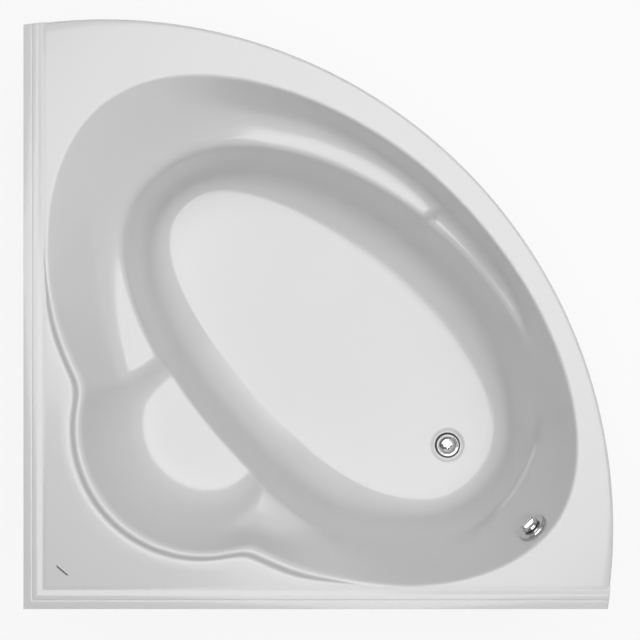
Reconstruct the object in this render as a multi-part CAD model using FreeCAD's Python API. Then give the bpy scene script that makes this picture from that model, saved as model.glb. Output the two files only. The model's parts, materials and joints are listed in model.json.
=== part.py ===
import FreeCAD
import Part
import math
import os
from FreeCAD import Vector

# Corner bath, built in millimetres.  +Z is up and the floor of the room is z = 0.
# The square corner stands at (-700, +700); the curved front faces +X and -Y.
# Inside shapes are laid out on two plan axes turned 45 degrees: u runs along the
# oval from the head end to the waste end, v runs from the corner to the front.

# ---------------------------------------------------------------- driving sizes
OVERALL = 1400.0            # width and depth of the bath
RIM_Z = 590.0               # height of the deck above the floor
SHELL = 5.0                 # thickness of the acrylic
BACKING = 4.0               # thickness of the glass fibre behind it
BOND = 0.2                  # glue line between the two
FRONT_CENTRE = 190.0        # front arc: its centre lies this far from both walls
LIP = 34.0                  # height of the turned-down edge of the deck
STRIP_WIDTH = 43.0          # raised strip along the two walls
STRIP_HEIGHT = 6.0
STRIP_GROOVE = 20.0         # its shallow groove, from the wall
BADGE_LENGTH = 35.0         # plain plate on the deck near the corner
BADGE_WIDTH = 7.0
BADGE_THICK = 0.8
BADGE_PLACE = (-609.0, 608.5)
BADGE_TURN = 50.0           # its long side's direction, in degrees

DEPTH = 430.0               # deck to basin floor
LEDGE = 150.0               # deck to the armrest ledges
LOW_LEDGE = 182.0           # deck to the low part of the front armrest
SEAT = 205.0                # deck to the corner seat
WAIST = 26.0                # blend where the seat bay meets the oval opening

HUB = (90.0, -35.0)         # plan point (u, v) that all sections run out from
# Egg outlines: centre (u, v), half lengths to +u, -u, +v, -v, power, turn in degrees
FLOOR_EGG = (190.0, -40.0, 384.0, 645.0, 252.0, 230.0, 2.25, 1.6)
BASIN_EGG = (189.0, -56.0, 530.0, 722.0, 425.0, 350.0, 2.1, 1.3)
OPENING_EGG = (-3.0, -17.0, 758.0, 716.0, 441.0, 530.0, 1.92, 2.5)
SEAT_CENTRE_V = -382.0      # the seat bay is a circle on the corner diagonal
SEAT_RADIUS = 292.0
BAY_EDGE_V = -150.0         # no bowl in front of this line
NO_BOWL = 400.0

BEAD_HEIGHT = 12.0          # roll round the seat bay
BEAD_HALF = 22.0
BEAD_REACH = 31.0
BAY_WALL = 3.1              # slope of the seat bay's wall at its top
BAY_HOLLOW = 0.011624       # how that slope eases towards the seat
BAY_WALL_REACH = 133.0
SEAT_EDGE = 4.0             # rounding where the wall meets the seat
RIM_ROUND = 8.0             # rounding where the wall turns over into the deck

# ---- how one section through the bath is drawn
FLAT_SHARE = 0.6            # share of the floor's reach that is plain flat
WALL_SHARE = 0.80           # the lower wall reaches at most this far towards the rim
WASTE_SHARE = 0.62          # the same at the waste end
WASTE_SHOULDER = 228.0      # deck to the shoulder at the waste end
WASTE_LEDGE = 100.0         # deck to the upper bend at the waste end
HEAD_RISE = 25.0            # the ledge climbs by this at the head
LEDGE_RISE = 16.0           # and by this from its inner to its outer edge
SIDE_RISE = 26.0            # added to that beside the seat, towards the waste
FLOOR_OUT = 8.0             # the flat floor ends this far outside its egg
WASTE_FLOOR_OUT = 15.0      # what is added to it at the waste end
EDGE_BEND = 5.0             # length cut off either side of the flat floor's edge
FRONT_BEND = 14.0           # what is added to it towards the front
FRONT_TURN = 60.0           # direction of the roundest part of that edge, in degrees
FOOT_SHARE = 0.58           # where the wall's foot lies, from the floor to the ledge
FOOT_SLOPE = 0.30           # the foot climbs gently up to there
FOOT_BEND = 75.0            # length cut off either side of the corner above the foot
LEDGE_BEND = 40.0           # the same at the outer edge of the ledge
DIP_BELOW = 110.0           # the low armrest fades out this far below and above the ledge
DIP_ABOVE = 70.0
STRAIGHT_STEPS = (1, 1, 3, 4, 5)    # points along the straight runs
BEND_STEPS = 4              # points along each bend
DECK_STEPS = 6              # points on the band of deck round the opening
ANGLES = 120                # sections round the hub
BACKING_STOP = DECK_STEPS + BEND_STEPS + 1      # outer section points left bare of backing

# ---- wooden battens, board and steel frame under the bath
BATTEN_WIDTH = 25.0
BATTEN_HEIGHT = 20.0
BATTEN_GAP = 1.0            # batten to the turned-down edge
BATTEN_LENGTH = 1330.0      # the one along the left wall
FRONT_BATTEN_TURN = 50.5    # the bent one reaches this far either side of the diagonal
PLATE_PLACE = 300.0         # fixing plates, either way from the middle of the bath
PLATE_WIDTH = 56.0
PLATE_THICK = 3.0
PLATE_TAB = 10.0            # hole's centre beyond the batten
PLATE_HOLE = 4.0
WOOD_SCREW = 2.0            # radius of the small screws, of their heads and their holes
WOOD_SCREW_HEAD = 4.5
WOOD_SCREW_HOLE = 2.3
WOOD_SCREW_LENGTH = 15.0
HEAD_HEIGHT = 2.0
BOARD_THICK = 16.0
RAIL = 25.0                 # square steel tube
RAIL_WALL = 2.0
RAIL_V = (98.0, -162.0)     # the two long rails
RAIL_U = (-330.0, 435.0)    # where the long rails start and end
CROSS_U = -40.0             # the cross rail under them
CROSS_V = (-605.0, 125.0)
SCREW_U = (-240.0, -120.0, 140.0, 300.0)    # screws from each long rail into the board
POST_V = -470.0             # post that carries the seat
PAD_SIZE = (60.0, 45.0)     # half sides of the pad on the post
PAD_THICK = 12.0
PAD_GAP = 3.5               # pad to the backing, which is not quite flat there
RAIL_SCREW = 2.4            # radius of the screws up into the board
RAIL_SCREW_BITE = 12.0
BOLT_RADIUS = 4.0           # bolts that join the rails
FOOT_U = (-305.0, 410.0)
CORNER_FOOT_V = -585.0
STUD_RADIUS = 6.0
STUD_LOW = 8.0              # the stud stands this high in its pad
STUD_SHORT = 18.0           # stud's top below the top of its rail
NUT_HEIGHT = 10.0
NUT_WIDTH = 19.0
FOOT_RADIUS = 25.0
PAD_HEIGHT = 22.0

# ---- front panel
PANEL_RADIUS = 1200.0
PANEL_THICK = 4.0
PANEL_LOW_Z = 12.0
PANEL_TOP_Z = 576.0
PANEL_FOLD = 22.0           # width of the panel's bottom fold
BRACE_TURNS = (-24.0, 0.0, 24.0)    # braces, in degrees from the front diagonal
BRACE_HALF = 15.0           # half the width of a brace
BRACE_THICK = 3.0
PANEL_SCREW_Z = 30.0

# ---- waste, in plan (u, v)
DRAIN = (504.6, -4.7)
DISH_RADIUS = 47.0
DISH_DEPTH = 5.0
DRAIN_HOLE = 27.0
FLANGE_RADIUS = 36.0
PORT_Z = 112.0              # side port that takes the overflow water
PLUG_RADIUS = 30.4
STEM_RADIUS = 4.0
RUNNING = 0.1               # radial clearance of shafts and studs that move

# ---- overflow, on the wall at the waste end
OVERFLOW_TURN = 3.0         # degrees from the u axis, seen from the hub
OVERFLOW_DROP = 62.0        # its centre below the deck
PLATE_RADIUS = 38.0
OVERFLOW_HOLE = 24.0
HOSE_OUTER = 13.5
HOSE_BORE = 10.5
HOSE_NUT = 17.6
HOSE_NUT_HALF = 11.0        # half the nut's length
HOSE_SWEEP = 160.0          # radius that the hose's bend is drawn round
HOSE_FIRST = 73.0           # length of the hose's first run, straight down
HOSE_BOW = (3.0, -4.0)      # how far (u, v) the hose bows out above the bend
CABLE_RADIUS = 2.5

ROOT2 = math.sqrt(2.0)


# ---------------------------------------------------------------- small helpers
def plan(u, v, z=0.0):
    """Point at plan position (u, v) and height z."""
    return Vector((v - u) / ROOT2, -(u + v) / ROOT2, z)


def mix(a, b, share):
    return a + (b - a) * share


def step(value, start, end):
    """Soft step from 0 at start to 1 at end."""
    t = min(1.0, max(0.0, (value - start) / (end - start)))
    return t * t * (3.0 - 2.0 * t)


def soft_max(a, b, blend):
    h = min(1.0, max(0.0, 0.5 + 0.5 * (a - b) / blend))
    return b + (a - b) * h + blend * h * (1.0 - h)


def soft_min(a, b, blend):
    return -soft_max(-a, -b, blend)


def egg_radius(angle, egg):
    """Distance from the hub to an egg outline, along one plan angle."""
    cu, cv, ahead, behind, front, back, power, turn = egg
    turn = math.radians(turn)
    near = 0.0
    far = 1500.0
    for _ in range(40):
        r = 0.5 * (near + far)
        du = HUB[0] + r * math.cos(angle) - cu
        dv = HUB[1] + r * math.sin(angle) - cv
        p = math.cos(turn) * du + math.sin(turn) * dv
        q = math.cos(turn) * dv - math.sin(turn) * du
        along = abs(p / (ahead if p > 0 else behind)) ** power
        across = abs(q / (front if q > 0 else back)) ** power
        if along + across < 1.0:
            near = r
        else:
            far = r
    return r


def bay_radius(angle):
    """Distance from the hub to the far side of the seat bay's circle, or 0."""
    du = -HUB[0]
    dv = SEAT_CENTRE_V - HUB[1]
    b = math.cos(angle) * du + math.sin(angle) * dv
    inside = b * b - du * du - dv * dv + SEAT_RADIUS ** 2
    if inside <= 0.0 or b <= 0.0:
        return 0.0
    return b + math.sqrt(inside)


# ---------------------------------------------------------------- bath surface
def seat_bowl(u, v):
    """Height of the seat bay's own bowl, below the deck; no bowl outside the bay."""
    if v > BAY_EDGE_V:
        return NO_BOWL
    narrow = mix(1.0, 0.90, step(v, -500.0, -380.0))
    rho = math.hypot(u / narrow, min(0.0, v - SEAT_CENTRE_V))
    x = min(SEAT_RADIUS - rho, BAY_WALL_REACH)
    wall = -BAY_WALL * x
    if x > 0.0:
        wall += BAY_HOLLOW * x * x
    return soft_max(wall, -SEAT, SEAT_EDGE)


def lowered(z, level):
    """Move the ledge level to another height; floor and deck stay."""
    if z > -LEDGE:
        return z * level / -LEDGE
    return -DEPTH + (z + DEPTH) * (level + DEPTH) / (DEPTH - LEDGE)


def ledge_width(turn, gap, waste_end):
    """Width of the shelf between the oval and the upper wall, by angle in degrees."""
    head_side = soft_min(46.0 + 0.9 * (turn - 101.0), 81.0 - 0.5 * (turn - 140.0), 8.0)
    left_side = 48.0 + 2.0 * (turn - 205.0)
    width = soft_max(head_side, left_side, 12.0)
    if turn < 101.0:
        width = 40.0
    width = mix(44.0 * step(turn, 42.0, 72.0), width, step(turn, 99.0, 103.0))
    width = soft_min(width, soft_max(4.4 * (313.0 - turn), 0.0, 14.0), 20.0)
    width = mix(max(width, 0.0) + 4.0, 0.62 * gap, waste_end)
    return soft_min(width, 0.78 * gap, 16.0)


def armrest_dip(u, v, z, turn):
    """How far the front armrest's low part lies under the ledge, at this point."""
    if v < 100.0:
        return 0.0
    share = step(u - 6.0 - 0.33 * (v - 354.0), 0.0, 20.0) * step(turn, 46.0, 74.0)
    share *= step(z, -LEDGE - DIP_BELOW, -LEDGE) * (1.0 - step(z, -LEDGE, -LEDGE + DIP_ABOVE))
    return share * (LOW_LEDGE - LEDGE)


def section_corners(angle):
    """Corners of one section as (distance from the hub, height, cut), and its rim."""
    turn = math.degrees(angle) % 360.0
    off_axis = abs((turn + 180.0) % 360.0 - 180.0)
    waste_end = 1.0 - step(off_axis, 22.0, 54.0)
    head = step(turn, 150.0, 172.0) * (1.0 - step(turn, 186.0, 208.0))
    facing = 0.5 + 0.5 * math.cos(math.radians(turn - FRONT_TURN))
    side = step(turn, 268.0, 292.0) * (1.0 - step(turn, 316.0, 334.0))
    r_floor = egg_radius(angle, FLOOR_EGG)
    r_rim = soft_max(egg_radius(angle, OPENING_EGG), bay_radius(angle), WAIST)
    slope = r_rim - r_floor
    r_basin = soft_min(egg_radius(angle, BASIN_EGG), r_floor + WALL_SHARE * slope, 40.0)
    r_basin = mix(r_basin, r_floor + WASTE_SHARE * slope, waste_end)
    r_ledge = r_basin + ledge_width(turn, r_rim - r_basin, waste_end)
    from_waste = abs((turn + 170.0) % 360.0 - 180.0)
    r_edge = r_floor + FLOOR_OUT + WASTE_FLOOR_OUT * (1.0 - step(from_waste, 8.0, 34.0))
    r_foot = mix(r_edge, r_basin, FOOT_SHARE)
    z_basin = mix(-LEDGE, -WASTE_SHOULDER, waste_end)
    rise = LEDGE_RISE + HEAD_RISE * head + SIDE_RISE * side
    z_ledge = mix(-LEDGE + rise, -WASTE_LEDGE, waste_end)
    corners = [
        (FLAT_SHARE * r_floor, -DEPTH, 0.0),
        (r_edge, -DEPTH, EDGE_BEND + FRONT_BEND * facing),
        (r_foot, -DEPTH + FOOT_SLOPE * (r_foot - r_edge), FOOT_BEND),
        (r_basin, z_basin, 13.0 + 16.0 * head + 50.0 * waste_end),
        (r_ledge, z_ledge, LEDGE_BEND + 32.0 * max(head, waste_end)),
        (r_rim, 0.0, RIM_ROUND),
        (r_rim + RIM_ROUND + 1.0, 0.0, 0.0),
    ]
    return corners, r_rim


def rounded(corners):
    """Points along the corners' straight runs and bends, from the first to the last."""
    points = [corners[0][:2]]
    last = corners[0]
    cut = 0.0
    for i in range(1, len(corners) - 1):
        before = corners[i - 1]
        here = corners[i]
        after = corners[i + 1]
        run_in = math.hypot(here[0] - before[0], here[1] - before[1])
        run_out = math.hypot(after[0] - here[0], after[1] - here[1])
        cut = min(here[2], 0.98 * run_in - cut)
        if i < len(corners) - 2:
            cut = min(cut, 0.49 * run_out)
        start = [here[k] + (before[k] - here[k]) * cut / run_in for k in (0, 1)]
        end = [here[k] + (after[k] - here[k]) * cut / run_out for k in (0, 1)]
        for k in range(1, STRAIGHT_STEPS[i - 1] + 1):
            share = k / STRAIGHT_STEPS[i - 1]
            points.append((mix(last[0], start[0], share), mix(last[1], start[1], share)))
        for k in range(1, BEND_STEPS + 1):
            s = k / BEND_STEPS
            a = (1 - s) ** 2
            b = 2 * s * (1 - s)
            c = s * s
            points.append((start[0] * a + here[0] * b + end[0] * c,
                           start[1] * a + here[1] * b + end[1] * c))
        last = end
    points.append(corners[-1][:2])
    return points


def section(angle):
    """Points of the bathing surface from the basin floor out to the flat deck."""
    turn = math.degrees(angle) % 360.0
    corners, r_rim = section_corners(angle)
    points = rounded(corners)
    beaded = step(turn, 203.0, 224.0) * (1.0 - step(turn, 302.0, 322.0))
    reach = 2.5 + BEAD_REACH * beaded
    for k in range(1, DECK_STEPS + 1):
        points.append((corners[-1][0] + reach * k / DECK_STEPS, 0.0))
    half = mix(8.0, BEAD_HALF, beaded)
    placed = []
    for r, z in points:
        u = HUB[0] + r * math.cos(angle)
        v = HUB[1] + r * math.sin(angle)
        if z < 0.0:
            bowl = seat_bowl(u, v)
            level = min(-LEDGE, max(bowl, -SEAT))
            z -= armrest_dip(u, v, z, turn)
            z = min(0.0, soft_min(lowered(z, level), bowl, 9.0))
        across = min(1.0, max(-1.0, (r - r_rim - 0.4 * half) / half))
        z += BEAD_HEIGHT * beaded * math.cos(across * math.pi / 2.0) ** 2
        placed.append(plan(u, v, RIM_Z + z))
    return placed


def bath_net():
    """Grid of surface points, one row per angle."""
    return [section(2.0 * math.pi * k / ANGLES) for k in range(ANGLES)]


def net_normals(net):
    """Upward normal at every point of the grid, from its neighbours."""
    rows = len(net)
    cols = len(net[0])
    normals = []
    for i in range(rows):
        line = []
        for j in range(cols):
            round_way = net[(i + 1) % rows][j] - net[i - 1][j]
            out_way = net[i][min(j + 1, cols - 1)] - net[i][max(j - 1, 0)]
            n = round_way.cross(out_way)
            n.normalize()
            if n.z < 0.0:
                n = n * -1.0
            line.append(n)
        normals.append(line)
    return normals


def ring_face(net):
    """Smooth closed band through the net (its rows are poles of a cubic surface)."""
    rows = len(net)
    cols = len(net[0])
    surface = Part.BSplineSurface()
    surface.buildFromPolesMultsKnots(
        net,
        [1] * (rows + 1),
        [4] + [1] * (cols - 4) + [4],
        [float(k) for k in range(rows + 1)],
        [float(k) for k in range(cols - 2)],
        True, False, 3, 3)
    return surface.toShape().Faces[0]


def rim_outline(inset, z):
    """Closed outline of the deck: two wall sides and the front arc, drawn inset."""
    wall = 0.5 * OVERALL - inset
    centre = Vector(FRONT_CENTRE - 0.5 * OVERALL, 0.5 * OVERALL - FRONT_CENTRE, z)
    radius = OVERALL - FRONT_CENTRE - inset
    across = wall - centre.y
    far = centre.x + math.sqrt(radius * radius - across * across)
    corner = Vector(-wall, wall, z)
    head_end = Vector(far, wall, z)
    waste_end = Vector(-wall, -far, z)
    middle = centre + Vector(radius / ROOT2, -radius / ROOT2, 0.0)
    return Part.Wire([
        Part.LineSegment(corner, head_end).toShape(),
        Part.Arc(head_end, middle, waste_end).toShape(),
        Part.LineSegment(waste_end, corner).toShape(),
    ])


def solid_from(faces):
    """Solid from faces that meet in shared edges."""
    shell = Part.makeShell(faces)
    shell.sewShape()
    solid = Part.makeSolid(shell)
    if solid.Volume < 0.0:
        solid.reverse()
    return solid


def closed_rings(face):
    """The inner and the outer closed edge of a band."""
    rings = [e for e in face.Edges if e.Closed]
    rings.sort(key=lambda e: e.Length)
    return rings[0], rings[-1]


def band_between(inner_net, outer_net):
    """Solid between two bands that start flat on the floor and stop on the wall."""
    inside = ring_face(inner_net)
    outside = ring_face(outer_net)
    in_floor, in_top = closed_rings(inside)
    out_floor, out_top = closed_rings(outside)
    return solid_from([
        inside,
        outside,
        Part.makeRuledSurface(in_top, out_top),
        Part.Face(Part.Wire([in_floor])),
        Part.Face(Part.Wire([out_floor])),
    ])


def offset_net(net, normals, distance, keep):
    """The net moved to the outside by a distance, cut to its first columns."""
    return [[p - n * distance for p, n in zip(row[:keep], side[:keep])]
            for row, side in zip(net, normals)]


def turned(shape):
    """Turn a shape that was drawn on the (u, v) axes into the bath's own axes."""
    shape.rotate(Vector(0, 0, 0), Vector(0, 0, 1), 225.0)
    return shape


def revolved(profile, u, v):
    """Solid of revolution about the vertical through (u, v); profile is (r, z)."""
    points = [Vector(r, 0.0, z) for r, z in profile]
    face = Part.Face(Part.makePolygon(points + points[:1]))
    solid = face.revolve(Vector(0, 0, 0), Vector(0, 0, 1), 360.0)
    solid.translate(plan(u, v))
    return solid


def cylinder(radius, low, high, u, v):
    """Upright rod at plan position (u, v), from a height to a height."""
    return Part.makeCylinder(radius, high - low, plan(u, v, low))


def pipe(outer, bore, low, high, u, v):
    return cylinder(outer, low, high, u, v).cut(cylinder(bore, low - 1.0, high + 1.0, u, v))


def hexagon(across_flats, low, high, bore, u, v):
    """Nut with a plain hole."""
    reach = across_flats / math.sqrt(3.0)
    corners = [Vector(reach * math.cos(k * math.pi / 3.0), reach * math.sin(k * math.pi / 3.0), low)
               for k in range(6)]
    nut = Part.Face(Part.makePolygon(corners + corners[:1])).extrude(Vector(0, 0, high - low))
    nut.translate(plan(u, v))
    return nut.cut(cylinder(bore, low - 1.0, high + 1.0, u, v))


def block(u_low, u_high, v_low, v_high, z_low, z_high):
    """Box along the two plan axes."""
    size = (u_high - u_low, v_high - v_low, z_high - z_low)
    return turned(Part.makeBox(*size, Vector(u_low, v_low, z_low)))


def square_tube(u_low, u_high, v_low, v_high, z_low):
    """Hollow steel rail, along whichever plan side is the longer."""
    outer = block(u_low, u_high, v_low, v_high, z_low, z_low + RAIL)
    w = RAIL_WALL
    if u_high - u_low > v_high - v_low:
        hollow = block(u_low - 1, u_high + 1, v_low + w, v_high - w, z_low + w, z_low + RAIL - w)
    else:
        hollow = block(u_low + w, u_high - w, v_low - 1, v_high + 1, z_low + w, z_low + RAIL - w)
    return outer.cut(hollow)


def swept(route, radius):
    """Round rod along straight runs joined by tangent arcs, with its length and radii."""
    edges = []
    here = route[0]
    radii = []
    for k in range(1, len(route) - 1):
        before = route[k - 1] - route[k]
        after = route[k + 1] - route[k]
        half_turn = 0.5 * (math.pi - before.getAngle(after))
        cut = 0.45 * min(before.Length, after.Length)
        radii.append(cut / math.tan(half_turn))
        before.normalize()
        after.normalize()
        start = route[k] + before * cut
        end = route[k] + after * cut
        inward = before + after
        inward.normalize()
        centre = route[k] + inward * (radii[-1] / math.cos(half_turn))
        middle = centre - inward * radii[-1]
        edges.append(Part.LineSegment(here, start).toShape())
        edges.append(Part.Arc(start, middle, end).toShape())
        here = end
    edges.append(Part.LineSegment(here, route[-1]).toShape())
    path = Part.Wire(edges)
    ring = Part.Wire([Part.Circle(route[0], route[1] - route[0], radius).toShape()])
    rod = path.makePipeShell([ring], True, False)
    return rod, path.Length, radii


def arc_sector(inner, outer, low, high, from_turn, to_turn):
    """Part of a ring round the front arc's centre; turns in degrees from the diagonal."""
    centre = Vector(FRONT_CENTRE - 0.5 * OVERALL, 0.5 * OVERALL - FRONT_CENTRE, low)
    sweep = to_turn - from_turn
    ring = Part.makeCylinder(outer, high - low, centre, Vector(0, 0, 1), sweep)
    ring = ring.cut(Part.makeCylinder(inner, high - low, centre, Vector(0, 0, 1), sweep))
    ring.rotate(centre, Vector(0, 0, 1), from_turn - 45.0)
    return ring


def arc_point(radius, turn, z):
    """Point on an arc round the front arc's centre."""
    angle = math.radians(turn - 45.0)
    centre = Vector(FRONT_CENTRE - 0.5 * OVERALL, 0.5 * OVERALL - FRONT_CENTRE, z)
    return centre + Vector(radius * math.cos(angle), radius * math.sin(angle), 0.0)


def wall_spot(turn, drop):
    """Point on the wall and its normal into the basin, at a drop below the deck."""
    small = math.radians(0.5)
    angle = math.radians(turn)

    def at_drop(a):
        line = section(a)
        for p, q in zip(line, line[1:]):
            if p.z <= RIM_Z - drop < q.z:
                share = (RIM_Z - drop - p.z) / (q.z - p.z)
                return p + (q - p) * share, q - p
        raise ValueError("no wall at this drop")

    spot, up_way = at_drop(angle)
    sideways = at_drop(angle + small)[0] - at_drop(angle - small)[0]
    normal = sideways.cross(up_way)
    normal.normalize()
    if normal.z < 0.0:
        normal = normal * -1.0
    return spot, normal


# ---------------------------------------------------------------- shell and backing
def raised_strip():
    """Upstand along both walls, mitred at the corner, with a shallow groove."""
    half = 0.5 * OVERALL
    low = RIM_Z - 2.0
    top = RIM_Z + STRIP_HEIGHT
    groove = STRIP_GROOVE
    profile = [
        (0.0, low), (0.0, top - 1.5), (1.5, top),
        (groove - 2.5, top), (groove, top - 1.2), (groove + 2.5, top),
        (STRIP_WIDTH - 7.0, top), (STRIP_WIDTH - 4.0, top - 0.9),
        (STRIP_WIDTH - 1.5, top - 3.2), (STRIP_WIDTH, RIM_Z), (STRIP_WIDTH, low),
    ]
    along_x = [Vector(-half, half - d, z) for d, z in profile]
    along_y = [Vector(-half + d, half, z) for d, z in profile]
    left = Part.Face(Part.makePolygon(along_x + along_x[:1])).extrude(Vector(OVERALL, 0, 0))
    right = Part.Face(Part.makePolygon(along_y + along_y[:1])).extrude(Vector(0, -OVERALL, 0))
    corner = Vector(-half, half, low - 5.0)
    in_front = Part.Face(Part.makePolygon([
        corner, corner + Vector(2 * OVERALL, 0, 0),
        corner + Vector(2 * OVERALL, -2 * OVERALL, 0), corner]))
    upper_side = in_front.extrude(Vector(0, 0, 30.0))
    left = left.common(upper_side)
    right = right.cut(upper_side)
    deck = Part.Face(rim_outline(0.0, low - 5.0)).extrude(Vector(0, 0, 30.0))
    return left.fuse(right).common(deck)


def bath_shell(net, normals):
    """Acrylic tub: basin, deck, turned-down edge, wall strip, waste dish and holes."""
    under = offset_net(net, normals, SHELL, len(net[0]))
    top_band = ring_face(net)
    low_band = ring_face(under)
    floor_top, deck_top = closed_rings(top_band)
    floor_low, deck_low = closed_rings(low_band)
    outer = rim_outline(0.0, RIM_Z)
    inner = rim_outline(SHELL, RIM_Z - SHELL)
    holed = "Part::FaceMakerBullseye"
    faces = [
        top_band,
        low_band,
        Part.Face(Part.Wire([floor_top])),
        Part.Face(Part.Wire([floor_low])),
        Part.makeFace([outer, Part.Wire([deck_top])], holed),
        Part.makeFace([inner, Part.Wire([deck_low])], holed),
        Part.makeFace([rim_outline(0.0, RIM_Z - LIP), rim_outline(SHELL, RIM_Z - LIP)], holed),
    ]
    faces += outer.extrude(Vector(0, 0, -LIP)).Faces
    faces += inner.extrude(Vector(0, 0, SHELL - LIP)).Faces
    tub = solid_from(faces)
    tub = tub.fuse(raised_strip())
    floor = RIM_Z - DEPTH
    tub = tub.fuse(cylinder(DISH_RADIUS + 5.0, floor - DISH_DEPTH - 6.0, floor - 3.0, *DRAIN))
    dish = [(0.0, floor - DISH_DEPTH), (FLANGE_RADIUS + 1.5, floor - DISH_DEPTH),
            (DISH_RADIUS, floor), (DISH_RADIUS + 8.0, floor + 10.0), (0.0, floor + 10.0)]
    tub = tub.cut(revolved(dish, *DRAIN))
    tub = tub.cut(cylinder(DRAIN_HOLE, floor - 30.0, floor + 10.0, *DRAIN))
    spot, normal = wall_spot(OVERFLOW_TURN, OVERFLOW_DROP)
    return tub.cut(Part.makeCylinder(OVERFLOW_HOLE, 60.0, spot - normal * 30.0, normal))


def glassfibre_backing(net, normals):
    """Laminate on the outside of the basin, up to just under the rim."""
    keep = len(net[0]) - BACKING_STOP
    inside = offset_net(net, normals, SHELL + BOND, keep)
    outside = offset_net(net, normals, SHELL + BOND + BACKING, keep)
    backing = band_between(inside, outside)
    floor = RIM_Z - DEPTH
    backing = backing.cut(cylinder(DISH_RADIUS + 7.0, floor - 30.0, floor + 30.0, *DRAIN))
    spot, normal = wall_spot(OVERFLOW_TURN, OVERFLOW_DROP)
    return backing.cut(Part.makeCylinder(OVERFLOW_HOLE + 1.0, 60.0, spot - normal * 30.0, normal))


def badge_plate():
    """Plain pill-shaped plate on the deck near the corner."""
    end = 0.5 * BADGE_WIDTH
    half = 0.5 * BADGE_LENGTH - end
    plate = Part.makeBox(2 * half, BADGE_WIDTH, BADGE_THICK, Vector(-half, -end, 0.0))
    for side in (-1, 1):
        plate = plate.fuse(Part.makeCylinder(end, BADGE_THICK, Vector(side * half, 0, 0)))
    plate = plate.removeSplitter()
    plate.rotate(Vector(0, 0, 0), Vector(0, 0, 1), BADGE_TURN)
    plate.translate(Vector(BADGE_PLACE[0], BADGE_PLACE[1], RIM_Z))
    return plate


# ---------------------------------------------------------------- board, battens, frame
BOARD_TOP = RIM_Z - DEPTH - SHELL - BOND - BACKING - 0.3
BATTEN_TOP = RIM_Z - SHELL - BOND
BATTEN_LOW = BATTEN_TOP - BATTEN_HEIGHT
RAIL_LOW = BOARD_TOP - BOARD_THICK - RAIL
CROSS_LOW = RAIL_LOW - RAIL


def base_board():
    """Board glued under the flat of the basin floor."""
    outline = []
    for k in range(48):
        angle = 2.0 * math.pi * k / 48
        facing = 0.5 + 0.5 * math.cos(angle - math.radians(35.0))
        r = egg_radius(angle, FLOOR_EGG) - 32.0 - 58.0 * facing ** 1.5
        outline.append(plan(HUB[0] + r * math.cos(angle), HUB[1] + r * math.sin(angle),
                            BOARD_TOP - BOARD_THICK))
    curve = Part.BSplineCurve()
    curve.interpolate(outline, PeriodicFlag=True)
    board = Part.Face(Part.Wire([curve.toShape()])).extrude(Vector(0, 0, BOARD_THICK))
    return board.cut(cylinder(66.0, BOARD_TOP - 30.0, BOARD_TOP + 10.0, *DRAIN))


def rim_battens():
    """Wood under the deck: one along each wall and a bent one along the front."""
    inset = SHELL + BATTEN_GAP
    near = 0.5 * OVERALL - inset
    left = Part.makeBox(BATTEN_LENGTH, BATTEN_WIDTH, BATTEN_HEIGHT,
                        Vector(-near, near - BATTEN_WIDTH, BATTEN_LOW))
    right = Part.makeBox(BATTEN_WIDTH, BATTEN_LENGTH - BATTEN_WIDTH - 1.0, BATTEN_HEIGHT,
                         Vector(-near, near - BATTEN_LENGTH, BATTEN_LOW))
    outer = OVERALL - FRONT_CENTRE - SHELL - 9.5
    front = arc_sector(outer - BATTEN_WIDTH, outer, BATTEN_LOW, BATTEN_TOP,
                       -FRONT_BATTEN_TURN, FRONT_BATTEN_TURN)
    return left, right, front


def frame_parts():
    """The two long rails, the cross rail, the seat post and its pad."""
    rails = []
    half = 0.5 * RAIL
    stud_hole = STUD_RADIUS + 0.6
    for v in RAIL_V:
        rail = square_tube(RAIL_U[0], RAIL_U[1], v - half, v + half, RAIL_LOW)
        for u in FOOT_U:
            rail = rail.cut(cylinder(stud_hole, RAIL_LOW - 1, RAIL_LOW + RAIL + 1, u, v))
        for u in SCREW_U:
            rail = rail.cut(cylinder(RAIL_SCREW + 0.5, RAIL_LOW - 1, RAIL_LOW + RAIL + 1, u, v))
        rail = rail.cut(cylinder(BOLT_RADIUS + 0.3, RAIL_LOW - 1, RAIL_LOW + RAIL_WALL + 1,
                                 CROSS_U, v))
        rails.append(rail)
    cross = square_tube(CROSS_U - half, CROSS_U + half, CROSS_V[0], CROSS_V[1], CROSS_LOW)
    cross = cross.cut(cylinder(stud_hole, CROSS_LOW - 1, CROSS_LOW + RAIL + 1,
                               CROSS_U, CORNER_FOOT_V))
    for v in RAIL_V:
        cross = cross.cut(cylinder(BOLT_RADIUS + 0.3, CROSS_LOW - 1, CROSS_LOW + RAIL + 1,
                                   CROSS_U, v))
    seat_under = RIM_Z - SEAT - SHELL - BOND - BACKING - PAD_GAP
    pad = block(CROSS_U - PAD_SIZE[0], CROSS_U + PAD_SIZE[0], POST_V - PAD_SIZE[1],
                POST_V + PAD_SIZE[1], seat_under - PAD_THICK, seat_under)
    foot_low = CROSS_LOW + RAIL
    post = block(CROSS_U - half, CROSS_U + half, POST_V - half, POST_V + half,
                 foot_low, seat_under - PAD_THICK)
    hollow = half - RAIL_WALL
    post = post.cut(block(CROSS_U - hollow, CROSS_U + hollow, POST_V - hollow, POST_V + hollow,
                          foot_low + 3.0, seat_under - PAD_THICK - 3.0))
    return rails[0], rails[1], cross, post, pad


def rail_screws():
    """Screws from below, through each long rail into the board."""
    screws = []
    for v in RAIL_V:
        for u in SCREW_U:
            head = cylinder(2.0 * RAIL_SCREW, RAIL_LOW - 3.0, RAIL_LOW, u, v)
            shank = cylinder(RAIL_SCREW, RAIL_LOW, RAIL_LOW + RAIL + RAIL_SCREW_BITE, u, v)
            screws.append(head.fuse(shank))
    return Part.makeCompound(screws)


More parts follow.
